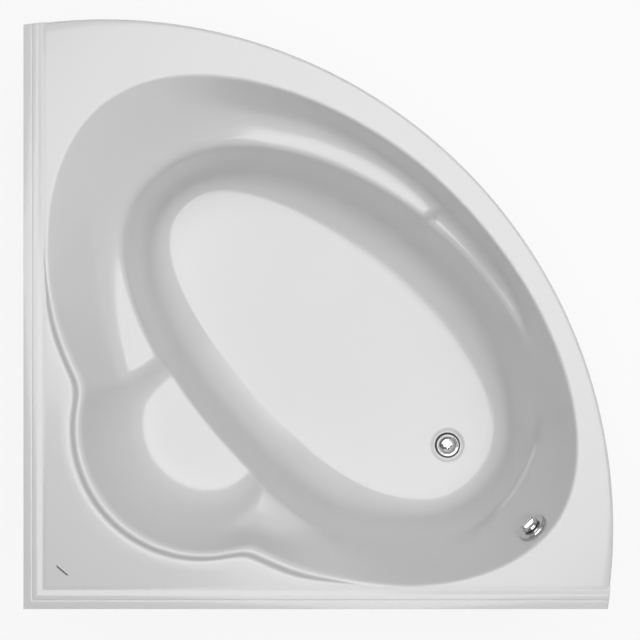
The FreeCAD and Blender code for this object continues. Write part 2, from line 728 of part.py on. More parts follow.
def drill_board(board):
    """Pilot holes for the rail screws."""
    under = BOARD_TOP - BOARD_THICK
    for v in RAIL_V:
        for u in SCREW_U:
            board = board.cut(cylinder(RAIL_SCREW + 0.1, under - 1.0,
                                       under + RAIL_SCREW_BITE + 0.5, u, v))
    return board


def cross_bolts():
    """Bolts with nuts that hold the cross rail to the long rails."""
    bolts = []
    for v in RAIL_V:
        seat = RAIL_LOW + RAIL_WALL
        head = cylinder(7.0, CROSS_LOW - 5.0, CROSS_LOW, CROSS_U, v)
        shank = cylinder(BOLT_RADIUS, CROSS_LOW, seat + 9.0, CROSS_U, v)
        bolts.append(head.fuse(shank))
        bolts.append(hexagon(13.0, seat, seat + 6.5, BOLT_RADIUS + 0.1, CROSS_U, v))
    return Part.makeCompound(bolts)


def feet_places():
    """Plan place of each foot and the underside of the rail it carries."""
    places = [(u, v, RAIL_LOW) for v in RAIL_V for u in FOOT_U]
    places.append((CROSS_U, CORNER_FOOT_V, CROSS_LOW))
    return places


def foot_nuts():
    """Nuts that carry the rails on the studs."""
    return Part.makeCompound([
        hexagon(NUT_WIDTH, low - NUT_HEIGHT, low, STUD_RADIUS + RUNNING, u, v)
        for u, v, low in feet_places()])


def foot_pad(u, v):
    """Plastic pad that stands on the floor, with a socket for the stud."""
    r = FOOT_RADIUS
    socket = STUD_RADIUS + 0.05
    profile = [(0.0, 0.0), (r - 1.5, 0.0), (r, 1.5), (r, 6.0), (r - 9.0, 12.0),
               (10.0, PAD_HEIGHT), (socket, PAD_HEIGHT), (socket, STUD_LOW), (0.0, STUD_LOW)]
    return revolved(profile, u, v)


def foot_stud(u, v, rail_low):
    """Threaded rod, screwed up through the nut and the rail."""
    top = rail_low + RAIL - STUD_SHORT
    profile = [(0.0, STUD_LOW), (STUD_RADIUS, STUD_LOW), (STUD_RADIUS, top - 1.0),
               (STUD_RADIUS - 1.0, top), (0.0, top)]
    return revolved(profile, u, v)


def wood_screw(place):
    """Small screw driven upward; place is where its head meets what it holds."""
    head = Part.makeCylinder(WOOD_SCREW_HEAD, HEAD_HEIGHT, place - Vector(0, 0, HEAD_HEIGHT))
    return head.fuse(Part.makeCylinder(WOOD_SCREW, WOOD_SCREW_LENGTH, place))


def wall_plates():
    """Steel plates under the wall battens; a tab with a hole stands out inwards."""
    near = 0.5 * OVERALL - SHELL - BATTEN_GAP
    middle = near - 0.5 * BATTEN_WIDTH
    tab = near - BATTEN_WIDTH - PLATE_TAB
    reach = BATTEN_WIDTH + PLATE_TAB + 8.0
    half = 0.5 * PLATE_WIDTH
    low = BATTEN_LOW - PLATE_THICK
    plates = []
    screws = []
    for along in (-PLATE_PLACE, PLATE_PLACE):
        for left in (True, False):
            if left:
                plate = Part.makeBox(PLATE_WIDTH, reach, PLATE_THICK,
                                     Vector(along - half, near - reach, low))
                eye = Vector(along, tab, low)
            else:
                plate = Part.makeBox(reach, PLATE_WIDTH, PLATE_THICK,
                                     Vector(-near, along - half, low))
                eye = Vector(-tab, along, low)
            plate = plate.cut(Part.makeCylinder(PLATE_HOLE, PLATE_THICK, eye))
            for side in (-18.0, 18.0):
                if left:
                    place = Vector(along + side, middle, low)
                else:
                    place = Vector(-middle, along + side, low)
                plate = plate.cut(Part.makeCylinder(WOOD_SCREW_HOLE, PLATE_THICK, place))
                screws.append(wood_screw(place))
            plates.append(plate)
    return Part.makeCompound(plates), Part.makeCompound(screws)


def drill_battens(battens, screws):
    """Pilot holes for the plate and brace screws."""
    deep = WOOD_SCREW_LENGTH + 0.5
    holes = []
    for screw in screws:
        box = screw.BoundBox
        foot = Vector(box.Center.x, box.Center.y, box.ZMax + 0.5 - deep)
        holes.append(Part.makeCylinder(WOOD_SCREW + 0.1, deep, foot))
    return [batten.cut(Part.makeCompound(holes)) for batten in battens]


# ---------------------------------------------------------------- front panel
PANEL_INNER = PANEL_RADIUS - PANEL_THICK
BRACE_OUTER = PANEL_INNER - 1.0
FOLD_TOP_Z = PANEL_LOW_Z + PANEL_THICK
FOLD_BOLT_R = PANEL_INNER - 12.0        # arc on which the fold's bolts stand
BATTEN_SCREW_R = BRACE_OUTER - 14.0     # arc on which the braces' upper screws stand


def through_face(radius, reach, turn):
    """Radial cutter for a panel screw, from a radius outwards."""
    place = arc_point(radius, turn, PANEL_SCREW_Z)
    out = arc_point(radius + 1.0, turn, PANEL_SCREW_Z) - place
    return Part.makeCylinder(WOOD_SCREW_HOLE, reach, place, out)


def front_panel():
    """Curved apron under the rim, folded inwards at the bottom."""
    skin = arc_sector(PANEL_INNER, PANEL_RADIUS, PANEL_LOW_Z, PANEL_TOP_Z, -60.0, 60.0)
    fold = arc_sector(PANEL_INNER - PANEL_FOLD, PANEL_INNER + 1.0, PANEL_LOW_Z, FOLD_TOP_Z,
                      -60.0, 60.0)
    panel = skin.fuse(fold).removeSplitter()
    room = 0.5 * OVERALL - SHELL - 1.0
    space = Part.makeBox(2 * OVERALL, 2 * OVERALL, 2 * RIM_Z,
                         Vector(-room, room - 2 * OVERALL, -10.0))
    panel = panel.common(space)
    for turn in BRACE_TURNS:
        panel = panel.cut(through_face(PANEL_INNER - 5.0, 20.0, turn))
        down = arc_point(FOLD_BOLT_R, turn, PANEL_LOW_Z - 1.0)
        panel = panel.cut(Part.makeCylinder(WOOD_SCREW_HOLE, PANEL_THICK + 2.0, down))
    return panel


def panel_brace(turn):
    """Flat steel strap, bent at both ends, from the front batten to the panel's fold."""
    width = math.degrees(BRACE_HALF / BRACE_OUTER)
    ends = (turn - width, turn + width)
    thick = BRACE_THICK
    strap = arc_sector(BRACE_OUTER - thick, BRACE_OUTER, FOLD_TOP_Z, BATTEN_LOW, *ends)
    top_tab = arc_sector(BRACE_OUTER - 24.0, BRACE_OUTER, BATTEN_LOW - thick, BATTEN_LOW, *ends)
    low_tab = arc_sector(BRACE_OUTER - 20.0, BRACE_OUTER, FOLD_TOP_Z, FOLD_TOP_Z + thick, *ends)
    brace = strap.fuse(top_tab).fuse(low_tab).removeSplitter()
    up = arc_point(BATTEN_SCREW_R, turn, BATTEN_LOW - thick)
    brace = brace.cut(Part.makeCylinder(WOOD_SCREW_HOLE, thick, up))
    down = arc_point(FOLD_BOLT_R, turn, FOLD_TOP_Z)
    brace = brace.cut(Part.makeCylinder(WOOD_SCREW_HOLE, thick, down))
    return brace.cut(through_face(BRACE_OUTER - 10.0, 20.0, turn))


def brace_screws():
    """Screws up into the front batten and small bolts through the panel's fold."""
    into_batten = []
    through_fold = []
    for turn in BRACE_TURNS:
        into_batten.append(wood_screw(arc_point(BATTEN_SCREW_R, turn, BATTEN_LOW - BRACE_THICK)))
        head = arc_point(FOLD_BOLT_R, turn, PANEL_LOW_Z - HEAD_HEIGHT)
        nut = arc_point(FOLD_BOLT_R, turn, FOLD_TOP_Z + BRACE_THICK)
        bolt = Part.makeCylinder(WOOD_SCREW_HEAD, HEAD_HEIGHT, head)
        bolt = bolt.fuse(Part.makeCylinder(WOOD_SCREW, 14.0, head))
        bolt = bolt.fuse(Part.makeCylinder(4.0, 3.0, nut))
        through_fold.append(bolt)
    return into_batten, through_fold


def panel_screws():
    """Domed screws on the panel's face, into the braces."""
    screws = []
    for turn in BRACE_TURNS:
        face = arc_point(PANEL_RADIUS + 0.1, turn, PANEL_SCREW_Z)
        out = arc_point(PANEL_RADIUS + 10.0, turn, PANEL_SCREW_Z) - face
        out.normalize()
        head = Part.makeSphere(9.0, face - out * 5.5)
        head = head.common(Part.makeCylinder(12.0, 8.0, face, out))
        shank = Part.makeCylinder(WOOD_SCREW, 13.1, face - out * 13.0, out)
        screws.append(head.fuse(shank))
    return Part.makeCompound(screws)


# ---------------------------------------------------------------- waste and plug
FLOOR_Z = RIM_Z - DEPTH
DISH_Z = FLOOR_Z - DISH_DEPTH           # flat seat of the waste in the dish
UNDER_DISH_Z = DISH_Z - 6.0
BODY_TOP_Z = UNDER_DISH_Z - 2.5
PORT_REACH = 60.0                       # waste centre to the end of its side port
GLAND_TURN = 40.0                       # cable gland, in degrees from the side port
GLAND_Z = 108.0
GLAND_RADIUS = 5.5
GLAND_BORE = 2.8
THROAT = 25.0                           # the flange's screwed throat
THROAT_BORE = 22.0
THROAT_LOW_Z = 130.0
GUIDE_Z = (134.0, 142.0)                # cross that guides the plug's stem
LIFTER_Z = (110.0, 118.0)
TRAP_Z = 39.0                           # axis of the trap's outlet
TAIL = 20.0                             # radius of the waste's tail and the outlet pipe
TAIL_LOW_Z = 74.0
OUTLET_BORE = 17.0
SPIGOT = 19.0                           # radius of the two ends that meet in the outlet nut
OUTLET_REACH = 280.0
OUTLET_WAY = Vector(-1, 0, 0)


def flat_ring(inner, outer, low, high):
    return pipe(outer, inner, low, high, *DRAIN)


def waste_flange():
    """Chrome flange with its throat and the guide cross for the plug's stem."""
    r = FLANGE_RADIUS
    seat = DISH_Z + 3.2
    profile = [(THROAT_BORE, THROAT_LOW_Z), (THROAT, THROAT_LOW_Z), (THROAT, DISH_Z + 1.2),
               (r, DISH_Z + 1.2), (r, seat), (r - 1.5, DISH_Z + 4.8), (r - 3.5, DISH_Z + 5.2),
               (r - 5.0, DISH_Z + 4.8), (r - 5.0, seat), (THROAT_BORE, seat)]
    flange = revolved(profile, *DRAIN)
    u, v = DRAIN
    arm = THROAT_BORE + 0.5
    for long, wide in ((arm, 1.5), (1.5, arm)):
        flange = flange.fuse(block(u - long, u + long, v - wide, v + wide, *GUIDE_Z))
    flange = flange.fuse(cylinder(7.0, GUIDE_Z[0] - 1.0, GUIDE_Z[1] + 1.0, u, v))
    return flange.cut(cylinder(STEM_RADIUS + RUNNING, GUIDE_Z[0] - 10.0, GUIDE_Z[1] + 8.0, u, v))


def plug_cap():
    profile = [(0.0, DISH_Z + 5.6), (29.4, DISH_Z + 5.6), (29.4, DISH_Z + 3.6),
               (PLUG_RADIUS, DISH_Z + 3.6), (PLUG_RADIUS, DISH_Z + 6.5), (28.5, DISH_Z + 9.0),
               (22.0, DISH_Z + 11.6), (12.0, DISH_Z + 13.4), (0.0, DISH_Z + 14.0)]
    return revolved(profile, *DRAIN)


def toward(turn, reach, z):
    """Point at a reach from the waste's centre, turned from the side port."""
    angle = math.radians(turn) + PORT_ANGLE
    return plan(DRAIN[0] + reach * math.cos(angle), DRAIN[1] + reach * math.sin(angle), z)


def stub(start, end, radius):
    return Part.makeCylinder(radius, (end - start).Length, start, end - start)


def waste_body():
    """Cup under the bath that screws onto the flange's throat."""
    screwed = THROAT + 0.2
    profile = [(screwed, BODY_TOP_Z), (38.0, BODY_TOP_Z), (38.0, 141.0), (32.0, 138.0),
               (32.0, 98.0), (TAIL, 90.0), (TAIL, TAIL_LOW_Z), (17.0, TAIL_LOW_Z), (17.0, 92.0),
               (28.0, 101.0), (28.0, 128.0), (screwed, 129.0)]
    body = revolved(profile, *DRAIN)
    port = [toward(0.0, reach, PORT_Z) for reach in (20.0, 29.0, PORT_REACH, PORT_REACH + 10.0)]
    body = body.fuse(stub(port[1], port[2], HOSE_OUTER))
    body = body.cut(stub(port[0], port[3], HOSE_BORE))
    gland = [toward(GLAND_TURN, reach, GLAND_Z) for reach in (20.0, 30.0, 46.0, 50.0)]
    body = body.fuse(stub(gland[1], gland[2], GLAND_RADIUS))
    return body.cut(stub(gland[0], gland[3], GLAND_BORE))


def trap_body():
    """Shallow bottle trap with its outlet toward the right-hand wall."""
    inlet = OUTLET_BORE - 0.5
    profile = [(0.0, 14.0), (38.0, 14.0), (42.0, 18.0), (42.0, 60.0), (38.0, 64.0), (TAIL, 64.0),
               (TAIL, 73.5), (inlet, 73.5), (inlet, 32.0), (19.5, 32.0), (19.5, 61.0),
               (37.0, 61.0), (39.0, 59.0), (39.0, 19.0), (36.5, 17.0), (0.0, 17.0)]
    trap = revolved(profile, *DRAIN)
    centre = plan(*DRAIN, TRAP_Z)
    trap = trap.fuse(stub(centre + OUTLET_WAY * 40.5, centre + OUTLET_WAY * 80.0, SPIGOT))
    return trap.cut(stub(centre + OUTLET_WAY * 36.0, centre + OUTLET_WAY * 90.0, inlet))


def outlet_pipe():
    """Pipe from the trap towards the wall; its end in the nut is a little thinner."""
    centre = plan(*DRAIN, TRAP_Z)
    start = centre + OUTLET_WAY * 80.3
    collar = centre + OUTLET_WAY * 92.5
    end = centre + OUTLET_WAY * OUTLET_REACH
    tube = stub(collar, end, TAIL).fuse(stub(start, collar, SPIGOT))
    return tube.cut(stub(start - OUTLET_WAY, end + OUTLET_WAY, OUTLET_BORE))


def ring_nut(start, end, bore, outer, grips):
    """Round nut with grip ribs, from start to end."""
    nut = stub(start, end, outer)
    axis = end - start
    side = axis.cross(Vector(0, 0, 1))
    if side.Length < 0.01 * axis.Length:
        side = Vector(1, 0, 0)
    side.normalize()
    for k in range(grips):
        arm = FreeCAD.Rotation(axis, 360.0 * k / grips).multVec(side) * outer
        nut = nut.fuse(stub(start + arm, end + arm, 1.6))
    return nut.cut(stub(start - axis, end + axis, bore))


# ---------------------------------------------------------------- overflow
SPOT, WALL_NORMAL = wall_spot(OVERFLOW_TURN, OVERFLOW_DROP)
SIDEWAYS = Vector(0, 0, 1).cross(WALL_NORMAL)
SIDEWAYS.normalize()
CUP_CENTRE = SPOT - WALL_NORMAL * 30.0
CUP_U = -(CUP_CENTRE.x + CUP_CENTRE.y) / ROOT2
CUP_V = (CUP_CENTRE.x - CUP_CENTRE.y) / ROOT2
PORT_ANGLE = math.atan2(CUP_V - DRAIN[1], CUP_U - DRAIN[0])
CUP_OUT_Z = CUP_CENTRE.z - 62.0         # end of the cup's outlet
GLAND_SIDE = -22.5                      # cable gland, beside the cup's outlet
CUP_RADIUS = 32.0
CUP_WALL = 3.0
CUP_FRONT = -12.2                       # along the overflow's axis, from the wall's face
CUP_BACK = -49.0
NECK = 22.0                             # neck through the bath's wall
NECK_BORE = 19.5
SPINDLE = 5.0
GLAND_END = 40.0                        # lower end of the cup's gland below its centre


def on_wall(shape):
    """Stand a shape that was drawn along +Z on the wall, pointing into the basin."""
    up_wall = WALL_NORMAL.cross(SIDEWAYS)
    turn = FreeCAD.Rotation(SIDEWAYS, up_wall, WALL_NORMAL, "ZXY")
    shape.Placement = FreeCAD.Placement(SPOT, turn)
    return shape


def wall_turned(profile):
    """Solid of revolution about the overflow's axis; profile is (r, distance)."""
    points = [Vector(r, 0.0, z) for r, z in profile]
    face = Part.Face(Part.makePolygon(points + points[:1]))
    return face.revolve(Vector(0, 0, 0), Vector(0, 0, 1), 360.0)


def wall_ring(inner, outer, low, high):
    return wall_turned([(inner, low), (outer, low), (outer, high), (inner, high)])


def overflow_plate():
    """Chrome cover with water slots in the lower half of its edge."""
    r = PLATE_RADIUS
    bore = SPINDLE + RUNNING
    plate = wall_turned([(bore, -12.0), (8.0, -12.0), (8.0, 7.5), (r - 3.5, 7.5), (r - 3.5, 4.0),
                         (r, 4.0), (r, 7.0), (r - 1.5, 9.4), (r - 5.0, 10.5), (bore, 10.5)])
    for k in range(-3, 4):
        slot = Part.makeBox(8.0, 9.0, 3.0, Vector(r - 6.0, -4.5, 3.9))
        slot.rotate(Vector(0, 0, 0), Vector(0, 0, 1), -90.0 + 22.0 * k)
        plate = plate.cut(slot)
    return on_wall(plate)


def overflow_knob():
    """Turning handle with a raised grip across it."""
    knob = wall_turned([(0.0, 12.0), (SPINDLE + 0.05, 12.0), (SPINDLE + 0.05, 11.2), (20.0, 11.2),
                        (22.0, 13.0), (22.0, 17.0), (20.0, 19.6), (15.0, 21.0), (0.0, 21.5)])
    grip = Part.makeBox(36.0, 8.0, 9.0, Vector(-18.0, -4.0, 20.0))
    rounding = [e for e in grip.Edges if e.BoundBox.ZMin > 28.9 or e.BoundBox.ZLength > 8.0]
    return on_wall(knob.fuse(grip.makeFillet(3.0, rounding)))


def knob_spindle():
    """Shaft through the cover, with the crank disc that winds the cable."""
    spindle = wall_turned([(0.0, -30.0), (SPINDLE, -30.0), (SPINDLE, 12.0), (0.0, 12.0)])
    crank = wall_turned([(0.0, -33.0), (11.0, -33.0), (11.0, -30.0), (0.0, -30.0)])
    return on_wall(spindle.fuse(crank))


def overflow_body():
    """Plastic cup behind the wall, with a neck through it and an outlet downward."""
    wall = CUP_WALL
    body = wall_turned([
        (NECK_BORE, 1.5), (NECK, 1.5), (NECK, CUP_FRONT), (CUP_RADIUS, CUP_FRONT),
        (CUP_RADIUS, CUP_BACK), (0.0, CUP_BACK), (0.0, CUP_BACK + wall),
        (CUP_RADIUS - wall, CUP_BACK + wall), (CUP_RADIUS - wall, CUP_FRONT - wall),
        (NECK_BORE, CUP_FRONT - wall)])
    for k in range(3):
        arm = Part.makeBox(10.5, 2.4, 6.0, Vector(9.6, -1.2, -14.0))
        arm.rotate(Vector(0, 0, 0), Vector(0, 0, 1), 30.0 + 120.0 * k)
        body = body.fuse(arm)
    body = body.fuse(wall_ring(8.3, 11.0, -14.0, -8.0))
    body = on_wall(body.copy())
    down = Vector(CUP_CENTRE.x, CUP_CENTRE.y, CUP_OUT_Z)
    start = CUP_CENTRE - Vector(0, 0, 27.0)
    body = body.fuse(stub(start, down, HOSE_OUTER))
    body = body.cut(stub(CUP_CENTRE - Vector(0, 0, 10.0), down - Vector(0, 0, 5.0), HOSE_BORE))
    gland = [CUP_CENTRE + SIDEWAYS * GLAND_SIDE - Vector(0, 0, drop)
             for drop in (5.0, 21.0, GLAND_END, GLAND_END + 5.0)]
    body = body.fuse(stub(gland[1], gland[2], GLAND_RADIUS))
    return body.cut(stub(gland[0], gland[3], GLAND_BORE))


def hose_route():
    """Down from the cup, slightly bowed, then round in three turns of 30 degrees."""
    across = math.hypot(CUP_U - DRAIN[0], CUP_V - DRAIN[1])
    half_run = HOSE_SWEEP * math.tan(math.radians(15.0))
    top = toward(0.0, across, CUP_OUT_Z - 0.3)
    below = top - Vector(0, 0, HOSE_FIRST)
    bend_start = toward(0.0, across, PORT_Z + HOSE_SWEEP - half_run)
    bowed = (below + bend_start) * 0.5 + plan(*HOSE_BOW)
    drop = half_run * (1.0 + math.sqrt(3.0))
    bend_middle = toward(0.0, across - half_run, PORT_Z + HOSE_SWEEP - drop)
    bend_end = toward(0.0, across - drop, PORT_Z)
    return [top, below, bowed, bend_start, bend_middle, bend_end,
            toward(0.0, PORT_REACH + 0.3, PORT_Z)]


def overflow_hose():
    """Hose from the cup's outlet down and across to the waste's side port."""
    outer, length, radii = swept(hose_route(), HOSE_OUTER)
    inner = swept(hose_route(), HOSE_BORE)[0]
    hose = outer.cut(inner)
    section_area = math.pi * (HOSE_OUTER ** 2 - HOSE_BORE ** 2)
    print("hose length: %.0f" % length)
    print("hose volume / (section x length): %.4f" % (hose.Volume / (section_area * length)))
    print("hose bend radii:", " ".join("%.0f" % r for r in radii))
    return hose


def control_cable():
    """Cable from the knob's crank to the plug lifter, held at both glands."""
    start = CUP_CENTRE + SIDEWAYS * GLAND_SIDE - Vector(0, 0, GLAND_END - 6.0)
    end = toward(GLAND_TURN, 40.0, GLAND_Z)
    before_end = toward(GLAND_TURN, 92.0, GLAND_Z)
    middle = [(0.0, 0.0, -27.0), (2.0, 5.0, -74.0), (5.0, 12.0, -124.0), (5.0, 17.0, -178.0),
              (1.0, 22.0, -228.0), (-12.0, 27.0, -275.0), (-40.0, 31.0, -313.0),
              (-80.0, 36.0, -340.0), (-124.0, 40.0, -354.0)]
    route = [start]
    for du, dv, dz in middle:
        route.append(start + plan(du, dv, dz))
    route += [before_end, end]
    cable, length, radii = swept(route, CABLE_RADIUS)
    section_area = math.pi * CABLE_RADIUS ** 2
    print("cable length: %.0f" % length)
    print("cable volume / (section x length): %.4f" % (cable.Volume / (section_area * length)))
    print("cable bend radii:", " ".join("%.0f" % r for r in radii))
    return cable


# ---------------------------------------------------------------- everything together
def build():
    """Every sub-part, by the name of its node."""
    net = bath_net()
    normals = net_normals(net)
    parts = {}
    parts["bath_shell"] = bath_shell(net, normals)
    parts["glassfibre_backing"] = glassfibre_backing(net, normals)
    parts["badge_plate"] = badge_plate()
    parts["base_board"] = drill_board(base_board())
    plates, plate_screws = wall_plates()
    into_batten, through_fold = brace_screws()
    left, right, front = rim_battens()
    left, right = drill_battens([left, right], plate_screws.Solids)
    parts["rim_batten_left"] = left
    parts["rim_batten_right"] = right
    parts["rim_batten_front"] = drill_battens([front], into_batten)[0]
    parts["wall_plates"] = plates
    parts["wall_plate_screws"] = plate_screws
    rail_front, rail_back, cross, post, pad = frame_parts()
    parts["rail_front"] = rail_front
    parts["rail_back"] = rail_back
    parts["cross_rail"] = cross
    parts["seat_post"] = post
    parts["seat_pad"] = pad
    parts["rail_screws"] = rail_screws()
    parts["cross_bolts"] = cross_bolts()
    parts["foot_nuts"] = foot_nuts()
    for k, (u, v, low) in enumerate(feet_places(), start=1):
        parts["foot_pad_%d" % k] = foot_pad(u, v)
        parts["foot_stud_%d" % k] = foot_stud(u, v, low)
    parts["front_panel"] = front_panel()
    for k, turn in enumerate(BRACE_TURNS, start=1):
        parts["panel_brace_%d" % k] = panel_brace(turn)
    parts["brace_screws"] = Part.makeCompound(into_batten)
    parts["fold_bolts"] = Part.makeCompound(through_fold)
    parts["panel_screws"] = panel_screws()
    parts["waste_flange"] = waste_flange()
    parts["flange_seal"] = flat_ring(28.5, 35.0, DISH_Z, DISH_Z + 1.2)
    parts["waste_gasket"] = flat_ring(27.5, 37.0, BODY_TOP_Z, UNDER_DISH_Z)
    parts["waste_body"] = waste_body()
    parts["plug_cap"] = plug_cap()
    parts["plug_seal"] = flat_ring(23.5, 29.2, DISH_Z + 3.8, DISH_Z + 5.6)
    parts["plug_stem"] = cylinder(STEM_RADIUS, LIFTER_Z[1], DISH_Z + 5.6, *DRAIN)
    parts["plug_lifter"] = cylinder(2.0 * STEM_RADIUS, *LIFTER_Z, *DRAIN)
    parts["trap_body"] = trap_body()
    screwed = TAIL + 0.2
    parts["trap_nut"] = ring_nut(plan(*DRAIN, 65.0), plan(*DRAIN, 88.0), screwed, 26.0, 12)
    outlet = plan(*DRAIN, TRAP_Z)
    parts["outlet_nut"] = ring_nut(outlet + OUTLET_WAY * 62.0, outlet + OUTLET_WAY * 92.0,
                                   SPIGOT + 0.2, 25.0, 12)
    parts["outlet_pipe"] = outlet_pipe()
    parts["overflow_plate"] = overflow_plate()
    parts["overflow_seal"] = on_wall(wall_ring(24.6, 30.0, 2.6, 4.0))
    parts["overflow_gasket"] = on_wall(wall_ring(25.5, 31.5, -12.2, -9.8))
    parts["overflow_body"] = overflow_body()
    parts["overflow_knob"] = overflow_knob()
    parts["knob_spindle"] = knob_spindle()
    parts["overflow_hose"] = overflow_hose()
    hose_top = Vector(CUP_CENTRE.x, CUP_CENTRE.y, CUP_OUT_Z)
    rise = Vector(0, 0, HOSE_NUT_HALF)
    parts["hose_nut_top"] = ring_nut(hose_top - rise, hose_top + rise, HOSE_OUTER + 0.2,
                                     HOSE_NUT, 8)
    parts["hose_nut_low"] = ring_nut(toward(0.0, PORT_REACH - HOSE_NUT_HALF, PORT_Z),
                                     toward(0.0, PORT_REACH + HOSE_NUT_HALF, PORT_Z),
                                     HOSE_OUTER + 0.2, HOSE_NUT, 8)
    parts["control_cable"] = control_cable()
    return parts


def main():
    os.makedirs("parts", exist_ok=True)
    for name, shape in build().items():
        if not shape.isValid():
            print("not valid:", name)
        shape.exportStep("parts/%s.step" % name)
    print("overflow centre:", [round(c, 2) for c in SPOT], "normal:",
          [round(c, 5) for c in WALL_NORMAL])


if __name__ == "__main__":
    main()
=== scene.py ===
"""Corner bath: the dressed model on its CAD frame, with its light and camera."""
import json
import logging
import math
from dataclasses import dataclass, replace
from enum import Enum

import bmesh
import bpy
import numpy as np
from mathutils import Matrix, Vector


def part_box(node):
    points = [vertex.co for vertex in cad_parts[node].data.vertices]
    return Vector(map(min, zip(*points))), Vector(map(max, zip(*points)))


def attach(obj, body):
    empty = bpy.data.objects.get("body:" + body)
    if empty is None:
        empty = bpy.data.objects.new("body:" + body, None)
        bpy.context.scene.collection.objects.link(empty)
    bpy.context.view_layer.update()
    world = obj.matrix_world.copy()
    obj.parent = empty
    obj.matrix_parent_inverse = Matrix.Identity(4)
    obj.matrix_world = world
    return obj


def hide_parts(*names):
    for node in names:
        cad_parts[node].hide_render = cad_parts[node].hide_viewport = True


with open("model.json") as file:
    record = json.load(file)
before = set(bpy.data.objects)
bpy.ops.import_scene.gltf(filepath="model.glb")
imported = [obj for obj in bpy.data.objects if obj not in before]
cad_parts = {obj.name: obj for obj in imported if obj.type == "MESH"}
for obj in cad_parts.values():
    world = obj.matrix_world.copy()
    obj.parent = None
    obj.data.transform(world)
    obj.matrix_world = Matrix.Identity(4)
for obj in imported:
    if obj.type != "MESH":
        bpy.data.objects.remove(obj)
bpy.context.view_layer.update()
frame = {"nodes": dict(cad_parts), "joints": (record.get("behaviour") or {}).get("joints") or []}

LOG = logging.getLogger("corner_bath")
MM = 0.001
ROOT2 = math.sqrt(2.0)
ON_AXIS = 1e-6  # radius that counts as the axis itself
NEARLY_STRAIGHT = 1.565  # half angle in radians of a corner that needs no rounding
ROUND_REACH = 0.48  # largest share of an edge that one rounding takes
CUP_BEHIND = 0.030  # how far the overflow cup's centre lies behind the cover, in metres

Colour = tuple[float, float, float]
Pair = tuple[float, float]
Triple = tuple[float, float, float]
Arc = tuple[float, float, float, float]
Egg = tuple[float, float, float, float, float, float, float, float]
Faces = list[tuple[int, ...]]
Socket = bpy.types.NodeSocket

WASTE_CENTRE: Pair = (504.6, -4.7)  # on the plan axes, in millimetres


# ------------------------------------------------------------ materials: node helpers
class Desk:
    """Places and wires the nodes of one tree."""

    def __init__(self, tree: bpy.types.NodeTree) -> None:
        """Take a tree and clear it."""
        self.tree = tree
        self.tree.nodes.clear()

    def feed(self, socket: Socket, value: object) -> None:
        """Give an input a value, or wire it to another socket.

        Args:
            socket: the input.
            value: plain value or output socket.
        """
        if isinstance(value, Socket):
            self.tree.links.new(value, socket)
        else:
            socket.default_value = value

    def add(self, kind: str, inputs: dict | None = None, **settings: object) -> bpy.types.Node:
        """Add one node.

        Args:
            kind: the node's type name without its ShaderNode prefix.
            inputs: values or sockets for its inputs, by name or number.
            settings: the node's own properties.

        Returns:
            The new node.
        """
        node = self.tree.nodes.new(kind if kind.startswith("Node") else "ShaderNode" + kind)
        for name, value in settings.items():
            setattr(node, name, value)
        for key, value in (inputs or {}).items():
            self.feed(node.inputs[key], value)
        return node

    def math(self, operation: str, first: object, second: object) -> Socket:
        """Result of a Math node on two sockets or numbers."""
        return self.add("Math", {0: first, 1: second}, operation=operation).outputs[0]

    def times(self, first: Socket, second: Socket) -> Socket:
        """Product of two colours or vectors."""
        return self.add("VectorMath", {0: first, 1: second}, operation="MULTIPLY").outputs[0]

    def noise(self, place: Socket, scale: object, detail: float) -> bpy.types.Node:
        """Noise texture at a place, of a scale and with octaves of detail."""
        return self.add("TexNoise", {"Vector": place, "Scale": scale, "Detail": detail})

    def blend(self, share: Socket, first: Socket, second: Socket) -> Socket:
        """Blend of two colours."""
        return self.add("Mix", {"Factor": share, 6: first, 7: second}, data_type="RGBA").outputs[2]


class EffectGroup:
    """A shader node group with named inputs and outputs, built once."""

    def __init__(self, name: str, inputs: dict[str, object], outputs: dict[str, str]) -> None:
        """Make the group's sockets.

        Args:
            name: name of the group.
            inputs: default value by socket name; a tuple makes a colour or vector.
            outputs: socket kind by socket name.
        """
        self.tree = bpy.data.node_groups.new(name, "ShaderNodeTree")
        self.desk = Desk(self.tree)
        for label, value in inputs.items():
            kind = "NodeSocketFloat"
            if isinstance(value, tuple):
                kind = "NodeSocketColor" if len(value) == 4 else "NodeSocketVector"
            socket = self.tree.interface.new_socket(label, in_out="INPUT", socket_type=kind)
            socket.default_value = value
        for label, kind in outputs.items():
            self.tree.interface.new_socket(label, in_out="OUTPUT", socket_type="NodeSocket" + kind)
        self.given = self.desk.add("NodeGroupInput").outputs
        self.made = self.desk.add("NodeGroupOutput").inputs
        self.place = self.desk.add("TexCoord").outputs["Object"]

    def give(self, **results: Socket) -> bpy.types.NodeTree:
        """Wire results to the group's outputs.

        Args:
            results: socket by name of the output.

        Returns:
            The finished group.
        """
        for label, value in results.items():
            self.desk.feed(self.made[label], value)
        return self.tree


def build_tone_group() -> bpy.types.NodeTree:
    """Soft, cloudy variation of a colour.

    Returns:
        The group with inputs Colour, Scale and Spread and the output Colour.
    """
    group = EffectGroup("tone_variation", {"Colour": (0.8, 0.8, 0.8, 1.0), "Scale": 6.0,
                                           "Spread": 0.02}, {"Colour": "Color"})
    desk, given = group.desk, group.given
    cloud = desk.noise(group.place, given["Scale"], 3.0)
    swing = desk.math("SUBTRACT", cloud.outputs["Fac"], 0.5)
    swing = desk.math("MULTIPLY", swing, given["Spread"])
    gain = desk.math("ADD", desk.math("MULTIPLY", swing, 2.0), 1.0)
    return group.give(Colour=desk.times(given["Colour"], gain))


